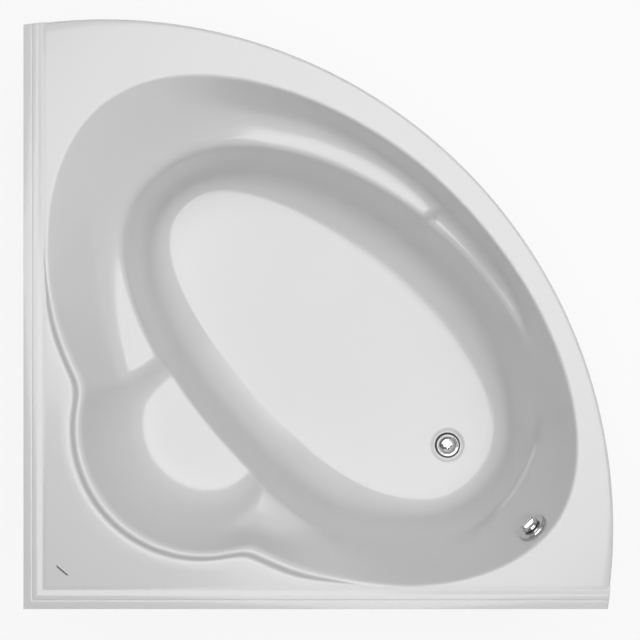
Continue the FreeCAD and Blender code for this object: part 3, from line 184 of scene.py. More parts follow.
def build_sheen_group() -> bpy.types.NodeTree:
    """Uneven polish: a roughness that drifts over the surface, with fine wipe marks.

    Returns:
        The group with inputs Roughness, Scale and Spread and the output Roughness.
    """
    group = EffectGroup("uneven_polish", {"Roughness": 0.3, "Scale": 20.0, "Spread": 0.04},
                        {"Roughness": "Float"})
    desk, given = group.desk, group.given
    patches = desk.noise(group.place, given["Scale"], 2.0)
    squeezed = desk.add("Mapping", {"Vector": group.place, "Rotation": (0.3, 0.2, 0.7),
                                    "Scale": (9.0, 1.0, 4.0)}).outputs[0]
    wipes = desk.noise(squeezed, desk.math("MULTIPLY", given["Scale"], 3.0), 4.0)
    both = desk.math("ADD", patches.outputs["Fac"], wipes.outputs["Fac"])
    swing = desk.math("MULTIPLY", desk.math("SUBTRACT", both, 1.0), given["Spread"])
    return group.give(Roughness=desk.math("ADD", given["Roughness"], swing))


def build_relief_group() -> bpy.types.NodeTree:
    """Fine unevenness of a surface, for a Bump node.

    Returns:
        The group with inputs Scale, Stretch and Waves and the output Height.
    """
    group = EffectGroup("fine_relief", {"Scale": 300.0, "Stretch": (1.0, 1.0, 1.0), "Waves": 0.0},
                        {"Height": "Float"})
    desk, given = group.desk, group.given
    grain = desk.noise(desk.times(group.place, given["Stretch"]), given["Scale"], 4.0)
    slow = desk.noise(group.place, desk.math("MULTIPLY", given["Scale"], 0.02), 1.0)
    waves = desk.math("MULTIPLY", slow.outputs["Fac"], given["Waves"])
    return group.give(Height=desk.math("ADD", grain.outputs["Fac"], waves))


def build_wood_group() -> bpy.types.NodeTree:
    """Sawn softwood: bands that run along one direction, with pores.

    Returns:
        The group with inputs Light, Dark, Stretch and Scale, and outputs Colour and Height.
    """
    group = EffectGroup("wood_grain", {"Light": (0.6, 0.4, 0.2, 1.0),
                                       "Dark": (0.4, 0.25, 0.1, 1.0),
                                       "Stretch": (1.0, 1.0, 1.0), "Scale": 40.0},
                        {"Colour": "Color", "Height": "Float"})
    desk, given = group.desk, group.given
    stretched = desk.times(group.place, given["Stretch"])
    bands = desk.add("TexWave", {"Vector": stretched, "Scale": given["Scale"],
                                 "Distortion": 5.0, "Detail": 3.0, "Detail Scale": 1.4},
                     wave_type="RINGS").outputs["Fac"]
    pores = desk.noise(stretched, desk.math("MULTIPLY", given["Scale"], 9.0), 3.0).outputs["Fac"]
    share = desk.math("MULTIPLY", bands, pores)
    return group.give(Colour=desk.blend(share, given["Light"], given["Dark"]), Height=pores)


def build_flake_group() -> bpy.types.NodeTree:
    """Pressed flakes or chopped strands in two tones.

    Returns:
        The group with inputs Light, Dark and Scale, and outputs Colour and Height.
    """
    group = EffectGroup("pressed_flakes", {"Light": (0.6, 0.5, 0.3, 1.0),
                                           "Dark": (0.4, 0.3, 0.2, 1.0), "Scale": 120.0},
                        {"Colour": "Color", "Height": "Float"})
    desk, given = group.desk, group.given
    bend = desk.noise(group.place, desk.math("MULTIPLY", given["Scale"], 0.4), 2.0)
    moved = desk.add("VectorMath", {0: bend.outputs["Color"], 1: (0.012, 0.006, 0.012),
                                    2: group.place}, operation="MULTIPLY_ADD")
    cells = desk.add("TexVoronoi", {"Vector": moved.outputs[0], "Scale": given["Scale"],
                                    "Randomness": 1.0}, feature="F1")
    tone = desk.add("SeparateColor", {0: cells.outputs["Color"]}).outputs[0]
    return group.give(Colour=desk.blend(tone, given["Light"], given["Dark"]),
                      Height=cells.outputs["Distance"])


class Effects:
    """The node groups that the finishes share."""

    tone = build_tone_group()
    polish = build_sheen_group()
    relief = build_relief_group()
    wood = build_wood_group()
    flakes = build_flake_group()


# ------------------------------------------------------------------------ finishes
class Pattern(Enum):
    """What draws a finish's colour and relief."""

    PLAIN = "plain"
    WOOD = "wood"
    FLAKES = "flakes"


@dataclass(frozen=True)
class Finish:
    """One finish, with the values of its shader and of the effects in it."""

    name: str
    colour: Colour
    roughness: float
    metallic: float = 0.0
    coat: float = 0.0
    second: Colour = (0.5, 0.5, 0.5)
    pattern: Pattern = Pattern.PLAIN
    tone_scale: float = 7.0
    tone_spread: float = 0.02
    polish_scale: float = 25.0
    polish_spread: float = 0.03
    relief_scale: float = 400.0
    relief_waves: float = 0.0
    relief_depth: float = 0.0002
    relief_strength: float = 0.15
    stretch: Triple = (1.0, 1.0, 1.0)
    subsurface: float = 0.0

    def material(self) -> bpy.types.Material:
        """Build the finish's material, or find the one built before.

        Returns:
            The material.
        """
        known = bpy.data.materials.get(self.name)
        if known:
            return known
        made = bpy.data.materials.new(self.name)
        made.use_nodes = True
        desk = Desk(made.node_tree)
        shader = desk.add("BsdfPrincipled", {
            "Roughness": self.roughness, "Metallic": self.metallic, "Coat Weight": self.coat,
            "Coat Roughness": 0.06, "Subsurface Weight": self.subsurface,
            "Subsurface Radius": (0.004, 0.004, 0.004), "Subsurface Scale": 1.0})
        desk.add("OutputMaterial", {"Surface": shader.outputs[0]})
        colour, height = self._ground(desk)
        tone = desk.add("Group", {"Colour": colour, "Scale": self.tone_scale,
                                  "Spread": self.tone_spread}, node_tree=Effects.tone)
        polish = desk.add("Group", {"Roughness": self.roughness, "Scale": self.polish_scale,
                                    "Spread": self.polish_spread}, node_tree=Effects.polish)
        bump = desk.add("Bump", {"Strength": self.relief_strength,
                                 "Distance": self.relief_depth, "Height": height})
        desk.feed(shader.inputs["Base Color"], tone.outputs[0])
        desk.feed(shader.inputs["Roughness"], polish.outputs[0])
        desk.feed(shader.inputs["Normal"], bump.outputs[0])
        return made

    def _ground(self, desk: Desk) -> tuple[object, Socket]:
        """Draw the pattern under the tone.

        Args:
            desk: the material's desk.

        Returns:
            The colour, plain or as the pattern's socket, and the socket of the height.
        """
        plain = (*self.colour, 1.0)
        if self.pattern is Pattern.PLAIN:
            relief = desk.add("Group", {"Scale": self.relief_scale, "Stretch": self.stretch,
                                        "Waves": self.relief_waves}, node_tree=Effects.relief)
            return plain, relief.outputs["Height"]
        inputs = {"Light": plain, "Dark": (*self.second, 1.0), "Scale": self.relief_scale}
        effect = Effects.flakes
        if self.pattern is Pattern.WOOD:
            inputs["Stretch"] = self.stretch
            effect = Effects.wood
        drawn = desk.add("Group", inputs, node_tree=effect)
        return drawn.outputs["Colour"], drawn.outputs["Height"]


ACRYLIC = Finish("sanitary_acrylic", (0.70, 0.70, 0.70), 0.2, coat=0.3, tone_scale=3.0,
                 tone_spread=0.008, polish_scale=9.0, relief_scale=240.0, relief_waves=12.0,
                 relief_depth=0.0001, relief_strength=0.05, subsurface=0.08)
PANEL_ACRYLIC = Finish("panel_acrylic_sheet", (0.78, 0.78, 0.785), 0.19, coat=0.3,
                       tone_scale=3.0, tone_spread=0.01, polish_scale=9.0,
                       relief_scale=200.0, relief_waves=14.0, relief_depth=0.00012,
                       relief_strength=0.06)
LAMINATE = Finish("glass_fibre_laminate", (0.66, 0.67, 0.62), 0.42, second=(0.5, 0.52, 0.46),
                  pattern=Pattern.FLAKES, relief_scale=90.0, relief_depth=0.0012,
                  relief_strength=0.7, tone_scale=9.0, tone_spread=0.12, polish_spread=0.1)
CHIPBOARD = Finish("chipboard", (0.55, 0.42, 0.27), 0.72, second=(0.36, 0.25, 0.14),
                   pattern=Pattern.FLAKES, relief_scale=260.0, relief_depth=0.0005,
                   relief_strength=0.5, tone_scale=12.0, tone_spread=0.1)
BATTEN_X = Finish("softwood_along_x", (0.68, 0.50, 0.30), 0.62, second=(0.48, 0.30, 0.15),
                  pattern=Pattern.WOOD, relief_scale=24.0, relief_depth=0.0004,
                  relief_strength=0.4, stretch=(0.06, 1.0, 1.0), tone_scale=5.0,
                  tone_spread=0.12)
BATTEN_Y = replace(BATTEN_X, name="softwood_along_y", stretch=(1.0, 0.06, 1.0))
PLYWOOD = Finish("bent_plywood", (0.70, 0.55, 0.36), 0.60, second=(0.46, 0.31, 0.17),
                 pattern=Pattern.WOOD, relief_scale=70.0, relief_depth=0.0003,
                 relief_strength=0.35, stretch=(0.12, 0.12, 3.0), tone_scale=8.0,
                 tone_spread=0.12)
CHROME = Finish("polished_chrome", (0.60, 0.60, 0.605), 0.05, metallic=1.0, tone_scale=40.0,
                tone_spread=0.01, polish_scale=90.0, polish_spread=0.02, relief_scale=900.0,
                relief_depth=0.00003, relief_strength=0.03)
ZINC = Finish("zinc_plated_steel", (0.56, 0.57, 0.55), 0.33, metallic=1.0, tone_scale=60.0,
              tone_spread=0.16, polish_scale=120.0, polish_spread=0.12, relief_scale=900.0,
              relief_depth=0.0001, relief_strength=0.2)
FRAME_STEEL = Finish("grey_powder_coat", (0.30, 0.31, 0.32), 0.48, tone_scale=15.0,
                     tone_spread=0.05, relief_scale=1500.0, relief_depth=0.0001,
                     relief_strength=0.35, polish_spread=0.05)
FOOT_PLASTIC = Finish("black_moulded_plastic", (0.035, 0.036, 0.038), 0.46, tone_scale=60.0,
                      tone_spread=0.15, relief_scale=1800.0, relief_depth=0.00008,
                      relief_strength=0.4)
WASTE_PLASTIC = Finish("white_polypropylene", (0.72, 0.72, 0.70), 0.38, tone_scale=30.0,
                       tone_spread=0.03, relief_scale=1400.0, relief_depth=0.00005,
                       relief_strength=0.25, subsurface=0.05)
SEAL_RUBBER = Finish("seal_rubber", (0.03, 0.03, 0.03), 0.62, tone_scale=80.0,
                     tone_spread=0.1, relief_scale=1500.0, relief_depth=0.00006,
                     relief_strength=0.3)
HOSE_PLASTIC = Finish("grey_hose_plastic", (0.42, 0.43, 0.44), 0.40, tone_scale=25.0,
                      tone_spread=0.05, relief_scale=1200.0, relief_depth=0.00006,
                      relief_strength=0.25)
CABLE_SHEATH = Finish("cable_sheath", (0.05, 0.05, 0.055), 0.42, tone_scale=60.0,
                      tone_spread=0.08, relief_scale=1500.0, relief_depth=0.00005,
                      relief_strength=0.25)
BADGE_METAL = Finish("satin_badge_metal", (0.34, 0.34, 0.35), 0.30, metallic=0.85,
                     tone_scale=60.0, tone_spread=0.06, polish_scale=200.0,
                     polish_spread=0.06, relief_scale=1600.0, relief_depth=0.00004,
                     relief_strength=0.2)


# ------------------------------------------------------------------- mesh helpers
def link_object(name: str, data: bpy.types.ID) -> bpy.types.Object:
    """Make an object and link it to the scene.

    Args:
        name: its name.
        data: its mesh, curve, lamp or camera.

    Returns:
        The object.
    """
    made = bpy.data.objects.new(name, data)
    bpy.context.scene.collection.objects.link(made)
    return made


def worked_out(obj: bpy.types.Object) -> bpy.types.Mesh:
    """New mesh of an object with its modifiers or its curve worked out.

    Args:
        obj: the object.

    Returns:
        The mesh.
    """
    bpy.context.view_layer.update()
    depsgraph = bpy.context.evaluated_depsgraph_get()
    return bpy.data.meshes.new_from_object(obj.evaluated_get(depsgraph))


def dress(mesh: bpy.types.Mesh, finish: Finish, sharp: float) -> None:
    """Give a mesh one finish and shade it smooth between its sharp edges.

    Args:
        mesh: the mesh.
        finish: the finish it is dressed in.
        sharp: edges that turn by more degrees than this stay sharp.
    """
    mesh.materials.clear()
    mesh.materials.append(finish.material())
    mesh.shade_smooth()
    mesh.set_sharp_from_angle(angle=math.radians(sharp))


def make_object(name: str, points: np.ndarray, faces: Faces, finish: Finish,
                sharp: float = 35.0) -> bpy.types.Object:
    """Make a smooth-shaded mesh object in metres.

    Args:
        name: the piece's name.
        points: corner positions, one row each, in metres.
        faces: corner numbers of each face.
        finish: the finish it is dressed in.
        sharp: edges that turn by more degrees than this stay sharp.

    Returns:
        The object, linked to the scene.
    """
    mesh = bpy.data.meshes.new(name)
    mesh.from_pydata([tuple(p) for p in points], [], faces)
    mesh.validate()
    turned = bmesh.new()
    turned.from_mesh(mesh)
    bmesh.ops.recalc_face_normals(turned, faces=turned.faces)
    turned.to_mesh(mesh)
    turned.free()
    dress(mesh, finish, sharp)
    return link_object(name, mesh)


def make_box(name: str, size: Triple, where: Matrix, bevel: float = 0.0) -> bpy.types.Object:
    """Make a box round the local origin.

    Args:
        name: its name.
        size: its length, width and height in millimetres.
        where: placing of the local axes in the bath's, in metres.
        bevel: width of its bevelled edges in millimetres, or 0 for sharp ones.

    Returns:
        The object.
    """
    box = bmesh.new()
    bmesh.ops.create_cube(box, size=1.0)
    box.transform(where @ Matrix.Diagonal((*(Vector(size) * MM), 1.0)))
    if bevel > 0.0:
        bmesh.ops.bevel(box, geom=list(box.edges), offset=bevel * MM, segments=2,
                        affect="EDGES", profile=0.5)
    mesh = bpy.data.meshes.new(name)
    box.to_mesh(mesh)
    box.free()
    return link_object(name, mesh)


def grid_faces(rows: int, cols: int, ring: bool) -> Faces:
    """Quads of a grid of points.

    Args:
        rows: number of rows.
        cols: points in each row.
        ring: whether the last row joins the first.

    Returns:
        The quads.
    """
    faces = []
    for i in range(rows if ring else rows - 1):
        here, there = i * cols, (i + 1) % rows * cols
        for j in range(cols - 1):
            faces.append((here + j, here + j + 1, there + j + 1, there + j))
    return faces


def tube_faces(rings: int, count: int, start: int = 0) -> Faces:
    """Quads between closed rings of points, with one face over each end.

    Args:
        rings: number of rings.
        count: points in each ring.
        start: number of the first ring's first point.

    Returns:
        The faces.
    """
    last = start + (rings - 1) * count
    faces = []
    for low in range(start, last, count):
        for k in range(count):
            n = (k + 1) % count
            faces.append((low + k, low + n, low + count + n, low + count + k))
    faces.append(tuple(reversed(range(start, start + count))))
    faces.append(tuple(range(last, last + count)))
    return faces


def drum(radius: float, low: float, high: float) -> list[Pair]:
    """Profile of a plain cylinder."""
    return [(0.0, low), (radius, low), (radius, high), (0.0, high)]


def rounded_profile(corners: list[Triple], steps: int = 5) -> list[Pair]:
    """Polyline with its corners rounded by arcs.

    Args:
        corners: (r, z, rounding) of each corner, in millimetres.
        steps: points along each rounding.

    Returns:
        Points (r, z) in millimetres.
    """
    points = [corners[0][:2]]
    for before, here, after in zip(corners, corners[1:], corners[2:]):
        at = np.array(here[:2])
        back = np.array(before[:2]) - at
        ahead = np.array(after[:2]) - at
        long_back = np.linalg.norm(back)
        long_ahead = np.linalg.norm(ahead)
        cosine = float(np.dot(back, ahead) / (long_back * long_ahead))
        half = 0.5 * math.acos(max(-1.0, min(1.0, cosine)))
        if here[2] <= 0.0 or half > NEARLY_STRAIGHT:
            points.append(here[:2])
            continue
        cut = min(here[2] / math.tan(half), ROUND_REACH * long_back, ROUND_REACH * long_ahead)
        start = at + back / long_back * cut
        end = at + ahead / long_ahead * cut
        for k in range(steps + 1):
            s = k / steps
            bend = start * (1 - s) ** 2 + at * 2 * s * (1 - s) + end * s * s
            points.append((float(bend[0]), float(bend[1])))
    points.append(corners[-1][:2])
    return points


def lathe(name: str, profile: list[Pair], finish: Finish, where: Matrix,
          segments: int = 128) -> bpy.types.Object:
    """Turned piece: a closed profile swept round the local Z axis.

    Args:
        name: the piece's name.
        profile: (r, z) points in millimetres; points with r = 0 close on the axis.
        finish: its finish.
        where: placing of the local axes in the bath's, in metres.
        segments: points round the axis.

    Returns:
        The object.
    """
    points: list[Triple] = []
    rings: list[list[int]] = []
    for r, z in profile:
        if r < ON_AXIS:
            points.append((0.0, 0.0, z))
            rings.append([len(points) - 1] * segments)
            continue
        rings.append(list(range(len(points), len(points) + segments)))
        for k in range(segments):
            turn = 2.0 * math.pi * k / segments
            points.append((r * math.cos(turn), r * math.sin(turn), z))
    closed = profile[0][0] > ON_AXIS and profile[-1][0] > ON_AXIS
    faces = []
    for low, high in zip(rings, rings[1:] + rings[:1] if closed else rings[1:]):
        for k in range(segments):
            n = (k + 1) % segments
            face = []
            for corner in (low[k], low[n], high[n], high[k]):
                if corner not in face:
                    face.append(corner)
            if len(face) > 2:
                faces.append(tuple(face))
    placed = np.array([where @ (Vector(p) * MM) for p in points])
    return make_object(name, placed, faces, finish)


class Shaping(Enum):
    """How one mesh is worked into another."""

    ADD = "UNION"
    CUT = "DIFFERENCE"


def reshape(body: bpy.types.Object, tools: list[tuple[Shaping, bpy.types.Object]],
            finish: Finish, sharp: float = 35.0) -> None:
    """Add meshes to a body or cut them out of it, exactly, and throw the tools away.

    Args:
        body: the object that is worked on.
        tools: closed meshes, each with what it does.
        finish: the body's finish.
        sharp: edges that turn by more degrees than this stay sharp.
    """
    for shaping, tool in tools:
        work = body.modifiers.new("shaping", "BOOLEAN")
        work.operation = shaping.value
        work.solver = "EXACT"
        work.object = tool
    mesh = worked_out(body)
    body.modifiers.clear()
    old = body.data
    body.data = mesh
    bpy.data.meshes.remove(old)
    dress(mesh, finish, sharp)
    for _, tool in tools:
        spent = tool.data
        bpy.data.objects.remove(tool)
        bpy.data.meshes.remove(spent)


def plan_point(u: float, v: float, z: float = 0.0) -> Vector:
    """Point in the bath's axes from its plan axes, all in millimetres."""
    return Vector(((v - u) / ROOT2, -(u + v) / ROOT2, z))


# ---------------------------------------------------------------- bathing surface
def mix(a: float | np.ndarray, b: float | np.ndarray, share: float) -> float | np.ndarray:
    """Blend of two numbers or arrays."""
    return a + (b - a) * share


def step(value: float, start: float, end: float) -> float:
    """Soft step from 0 at start to 1 at end.

    Args:
        value: where to read it.
        start: where it leaves 0.
        end: where it reaches 1.

    Returns:
        The step's height.
    """
    t = min(1.0, max(0.0, (value - start) / (end - start)))
    return t * t * (3.0 - 2.0 * t)


def soft_max(a: float, b: float, blend: float) -> float:
    """Larger of two numbers, rounded where they cross.

    Args:
        a: first number.
        b: second number.
        blend: width of the rounding.

    Returns:
        The rounded maximum.
    """
    h = min(1.0, max(0.0, 0.5 + 0.5 * (a - b) / blend))
    return b + (a - b) * h + blend * h * (1.0 - h)


def soft_min(a: float, b: float, blend: float) -> float:
    """Smaller of two numbers, rounded where they cross."""
    return -soft_max(-a, -b, blend)


def within(turn: float, arc: Arc) -> float:
    """Share of 1 inside a range of directions that starts and ends softly."""
    return step(turn, *arc[:2]) * (1.0 - step(turn, *arc[2:]))


def apart(turn: float, other: float) -> float:
    """Angle between two directions, from 0 to 180 degrees."""
    return abs((turn - other + 180.0) % 360.0 - 180.0)


def line(turn: float, course: Triple) -> float:
    """Straight course of a size: a direction, the size there and its change per degree."""
    return course[1] + course[2] * (turn - course[0])


@dataclass(frozen=True)
class BathingSurface:
    """The basin with its ledges and seat, from section to section round a hub.

    Sizes are millimetres on the plan axes: u runs along the oval to the waste end, v from
    the room corner to the front.
    """

    # heights: rim and depths below it
    rim_z: float = 590.0
    depth: float = 430.0
    ledge: float = 150.0
    low_ledge: float = 182.0
    seat: float = 205.0
    # outlines on the plan
    hub: Pair = (90.0, -35.0)
    floor_egg: Egg = (190.0, -40.0, 384.0, 645.0, 252.0, 230.0, 2.25, 1.6)
    basin_egg: Egg = (189.0, -56.0, 530.0, 722.0, 425.0, 350.0, 2.1, 1.3)
    opening_egg: Egg = (-3.0, -17.0, 758.0, 716.0, 441.0, 530.0, 1.92, 2.5)
    waist: float = 26.0
    far_out: float = 1500.0
    # seat bay
    seat_centre_v: float = -382.0
    seat_radius: float = 292.0
    bay_edge_v: float = -150.0
    bay_taper: float = 0.90
    bay_taper_v: Pair = (-500.0, -380.0)
    no_bowl: float = 400.0
    bay_wall: float = 3.1
    bay_hollow: float = 0.011624
    bay_wall_reach: float = 133.0
    seat_edge: float = 4.0
    bowl_blend: float = 9.0
    # directions in degrees: where a part starts and is full, starts to fade and is gone
    waste_arc: Pair = (22.0, 54.0)
    head_arc: Arc = (150.0, 172.0, 186.0, 208.0)
    side_arc: Arc = (268.0, 292.0, 316.0, 334.0)
    armrest_arc: Arc = (46.0, 58.0, 112.0, 150.0)
    bead_arc: Arc = (203.0, 224.0, 302.0, 322.0)
    # roll round the seat bay and groove outside it
    bead_height: float = 11.9
    bead_half: float = 22.0
    bead_reach: float = 31.0
    bead_crest: float = 0.62
    bead_start: float = 0.60
    bead_drop: float = 0.78
    groove_depth: float = 1.2
    groove_half: float = 0.50
    plain_half: float = 8.0
    plain_reach: float = 2.5
    # walls
    wall_share: float = 0.80
    wall_blend: float = 40.0
    waste_share: float = 0.62
    waste_shoulder: float = 228.0
    waste_ledge: float = 100.0
    head_rise: float = 25.0
    ledge_rise: float = 16.0
    side_rise: float = 26.0
    rim_round: float = 8.0
    rim_flat: float = 1.0
    # foot of the walls
    flat_share: float = 0.6
    floor_out: float = 8.0
    waste_floor_out: float = 15.0
    waste_floor_turn: float = 10.0
    waste_floor_arc: Pair = (8.0, 34.0)
    edge_bend: float = 5.0
    front_bend: float = 14.0
    front_turn: float = 60.0
    foot_share: float = 0.58
    foot_slope: float = 0.30
    foot_bend: float = 75.0
    # bends at the foot and at the back of the ledge
    basin_bend: float = 13.0
    head_bend: float = 16.0
    waste_bend: float = 50.0
    ledge_bend: float = 40.0
    end_bend: float = 32.0
    armrest_bend: float = 26.0
    armrest_lift: float = 11.0
    # width of the ledge
    front_width: float = 44.0
    front_width_arc: Pair = (42.0, 72.0)
    joint_width: float = 40.0
    joint_arc: Pair = (99.0, 103.0)
    widening: Triple = (101.0, 46.0, 0.9)
    narrowing: Triple = (140.0, 81.0, -0.5)
    seat_side: Triple = (205.0, 48.0, 2.0)
    ending: Triple = (313.0, 0.0, -4.4)
    width_blends: tuple[float, ...] = (8.0, 12.0, 14.0, 20.0, 16.0)
    width_spare: float = 4.0
    waste_width_share: float = 0.62
    width_limit: float = 0.78
    # low part of the front armrest
    dip_front_v: float = 100.0
    dip_shift: float = 6.0
    dip_slant: float = 0.33
    dip_middle_v: float = 354.0
    dip_run: Pair = (6.0, 20.0)
    dip_arc: Pair = (46.0, 74.0)
    dip_below: float = 110.0
    dip_above: float = 70.0
    # net
    halvings: int = 40
    straight_steps: tuple[int, ...] = (1, 1, 3, 4, 5)
    bend_steps: int = 4
    deck_steps: int = 9
    angles: int = 200

    @property
    def floor_z(self) -> float:
        """Height of the basin's floor."""
        return self.rim_z - self.depth

    def egg_radius(self, angle: float, egg: Egg) -> float:
        """Distance from the hub to an egg outline.

        Args:
            angle: plan angle of the ray, in radians.
            egg: centre, half lengths, power and turn of the outline.

        Returns:
            The distance.
        """
        cu, cv, ahead, behind, front, back, power, turn = egg
        turn = math.radians(turn)
        near, far = 0.0, self.far_out
        for _ in range(self.halvings):
            r = 0.5 * (near + far)
            du = self.hub[0] + r * math.cos(angle) - cu
            dv = self.hub[1] + r * math.sin(angle) - cv
            p = math.cos(turn) * du + math.sin(turn) * dv
            q = math.cos(turn) * dv - math.sin(turn) * du
            along = abs(p / (ahead if p > 0 else behind)) ** power
            across = abs(q / (front if q > 0 else back)) ** power
            if along + across < 1.0:
                near = r
            else:
                far = r
        return r

    def bay_radius(self, angle: float) -> float:
        """Distance from the hub to the far side of the seat bay's circle.

        Args:
            angle: plan angle of the ray, in radians.

        Returns:
            The distance, or 0 where the ray misses the circle.
        """
        du = -self.hub[0]
        dv = self.seat_centre_v - self.hub[1]
        b = math.cos(angle) * du + math.sin(angle) * dv
        inside = b * b - du * du - dv * dv + self.seat_radius ** 2
        if inside <= 0.0 or b <= 0.0:
            return 0.0
        return b + math.sqrt(inside)

    def seat_bowl(self, u: float, v: float) -> float:
        """Height of the seat bay's own bowl below the deck.

        Args:
            u: plan position along the oval.
            v: plan position toward the front.

        Returns:
            The height, far above the deck outside the bay.
        """
        if v > self.bay_edge_v:
            return self.no_bowl
        narrow = mix(1.0, self.bay_taper, step(v, *self.bay_taper_v))
        rho = math.hypot(u / narrow, min(0.0, v - self.seat_centre_v))
        x = min(self.seat_radius - rho, self.bay_wall_reach)
        wall = -self.bay_wall * x
        if x > 0.0:
            wall += self.bay_hollow * x * x
        return soft_max(wall, -self.seat, self.seat_edge)

    def lowered(self, z: float, level: float) -> float:
        """Move the ledge level to another height; floor and deck stay.

        Args:
            z: height below the deck.
            level: new height of the ledge.

        Returns:
            The moved height.
        """
        if z > -self.ledge:
            return z * level / -self.ledge
        share = (level + self.depth) / (self.depth - self.ledge)
        return -self.depth + (z + self.depth) * share

    def ledge_width(self, turn: float, gap: float, waste_end: float) -> float:
        """Width of the shelf between the oval and the upper wall.

        Args:
            turn: plan angle in degrees.
            gap: distance from the oval to the rim.
            waste_end: how far this section belongs to the waste end.

        Returns:
            The width.
        """
        turns, joins, fades, ends, limits = self.width_blends
        head_side = soft_min(line(turn, self.widening), line(turn, self.narrowing), turns)
        width = soft_max(head_side, line(turn, self.seat_side), joins)
        if turn < self.widening[0]:
            width = self.joint_width
        front = self.front_width * step(turn, *self.front_width_arc)
        width = mix(front, width, step(turn, *self.joint_arc))
        width = soft_min(width, soft_max(line(turn, self.ending), 0.0, fades), ends)
        width = mix(max(width, 0.0) + self.width_spare, self.waste_width_share * gap, waste_end)
        return soft_min(width, self.width_limit * gap, limits)

    def armrest_dip(self, u: float, v: float, z: float, turn: float) -> float:
        """How far the front armrest's low part lies under the ledge.

        Args:
            u: plan position along the oval.
            v: plan position toward the front.
            z: height below the deck.
            turn: plan angle in degrees.

        Returns:
            The drop.
        """
        if v < self.dip_front_v:
            return 0.0
        past = u - self.dip_shift - self.dip_slant * (v - self.dip_middle_v)
        share = step(past, *self.dip_run) * step(turn, *self.dip_arc)
        below = step(z, -self.ledge - self.dip_below, -self.ledge)
        above = 1.0 - step(z, -self.ledge, -self.ledge + self.dip_above)
        return share * below * above * (self.low_ledge - self.ledge)

    def section_corners(self, angle: float) -> tuple[list[Triple], float]:
        """Corners of one section.

        Args:
            angle: plan angle in radians.

        Returns:
            Corners as (distance from the hub, height, cut), and the rim's distance.
        """
        turn = math.degrees(angle) % 360.0
        waste_end = 1.0 - step(apart(turn, 0.0), *self.waste_arc)
        head = within(turn, self.head_arc)
        facing = 0.5 + 0.5 * math.cos(math.radians(turn - self.front_turn))
        side = within(turn, self.side_arc)
        armrest = within(turn, self.armrest_arc)
        r_floor = self.egg_radius(angle, self.floor_egg)
        r_rim = soft_max(self.egg_radius(angle, self.opening_egg), self.bay_radius(angle),
                         self.waist)
        slope = r_rim - r_floor
        r_basin = soft_min(self.egg_radius(angle, self.basin_egg),
                           r_floor + self.wall_share * slope, self.wall_blend)
        r_basin = mix(r_basin, r_floor + self.waste_share * slope, waste_end)
        r_ledge = r_basin + self.ledge_width(turn, r_rim - r_basin, waste_end)
        near_waste = 1.0 - step(apart(turn, self.waste_floor_turn), *self.waste_floor_arc)
        r_edge = r_floor + self.floor_out + self.waste_floor_out * near_waste
        r_foot = mix(r_edge, r_basin, self.foot_share)
        z_basin = mix(-self.ledge, -self.waste_shoulder, waste_end)
        z_basin += self.armrest_lift * armrest
        basin_bend = self.basin_bend + self.head_bend * head + self.waste_bend * waste_end
        ledge_bend = mix(self.ledge_bend, self.armrest_bend, armrest)
        ledge_bend += self.end_bend * max(head, waste_end)
        rise = self.ledge_rise + self.head_rise * head + self.side_rise * side
        z_ledge = mix(-self.ledge + rise, -self.waste_ledge, waste_end)
        return [
            (self.flat_share * r_floor, -self.depth, 0.0),
            (r_edge, -self.depth, self.edge_bend + self.front_bend * facing),
            (r_foot, -self.depth + self.foot_slope * (r_foot - r_edge), self.foot_bend),
            (r_basin, z_basin, basin_bend),
            (r_ledge, z_ledge, ledge_bend),
            (r_rim, 0.0, self.rim_round),
            (r_rim + self.rim_round + self.rim_flat, 0.0, 0.0),
        ], r_rim

    def rounded(self, corners: list[Triple]) -> list[Pair]:
        """Points along the corners' straight runs and bends.

        Args:
            corners: (distance, height, cut) of each corner.

        Returns:
            Points from the first corner to the last.
        """
        points = [corners[0][:2]]
        last = corners[0]
        cut = 0.0
        for i in range(1, len(corners) - 1):
            before, here, after = corners[i - 1:i + 2]
            run_in = math.hypot(here[0] - before[0], here[1] - before[1])
            run_out = math.hypot(after[0] - here[0], after[1] - here[1])
            cut = min(here[2], 0.98 * run_in - cut)
            if i < len(corners) - 2:
                cut = min(cut, 0.49 * run_out)
            start = [here[k] + (before[k] - here[k]) * cut / run_in for k in (0, 1)]
            end = [here[k] + (after[k] - here[k]) * cut / run_out for k in (0, 1)]
            for k in range(1, self.straight_steps[i - 1] + 1):
                share = k / self.straight_steps[i - 1]
                points.append((mix(last[0], start[0], share), mix(last[1], start[1], share)))
            for k in range(1, self.bend_steps + 1):
                s = k / self.bend_steps
                a, b, c = (1 - s) ** 2, 2 * s * (1 - s), s * s
                points.append((start[0] * a + here[0] * b + end[0] * c,
                               start[1] * a + here[1] * b + end[1] * c))
            last = end
        points.append(corners[-1][:2])
        return points

    def roll(self, out: float) -> float:
        """Height of the roll round the seat bay and of the faint groove outside it.

        Args:
            out: distance outside the rim, in half widths of the roll.

        Returns:
            The height over the deck.
        """
        across = out - self.bead_crest
        beyond = (across - self.bead_drop) / self.groove_half
        across /= self.bead_drop if across > 0.0 else self.bead_crest + self.bead_start
        crest, dip = (math.cos(min(1.0, abs(x)) * math.pi / 2.0) ** 2 for x in (across, beyond))
        return self.bead_height * crest - self.groove_depth * dip

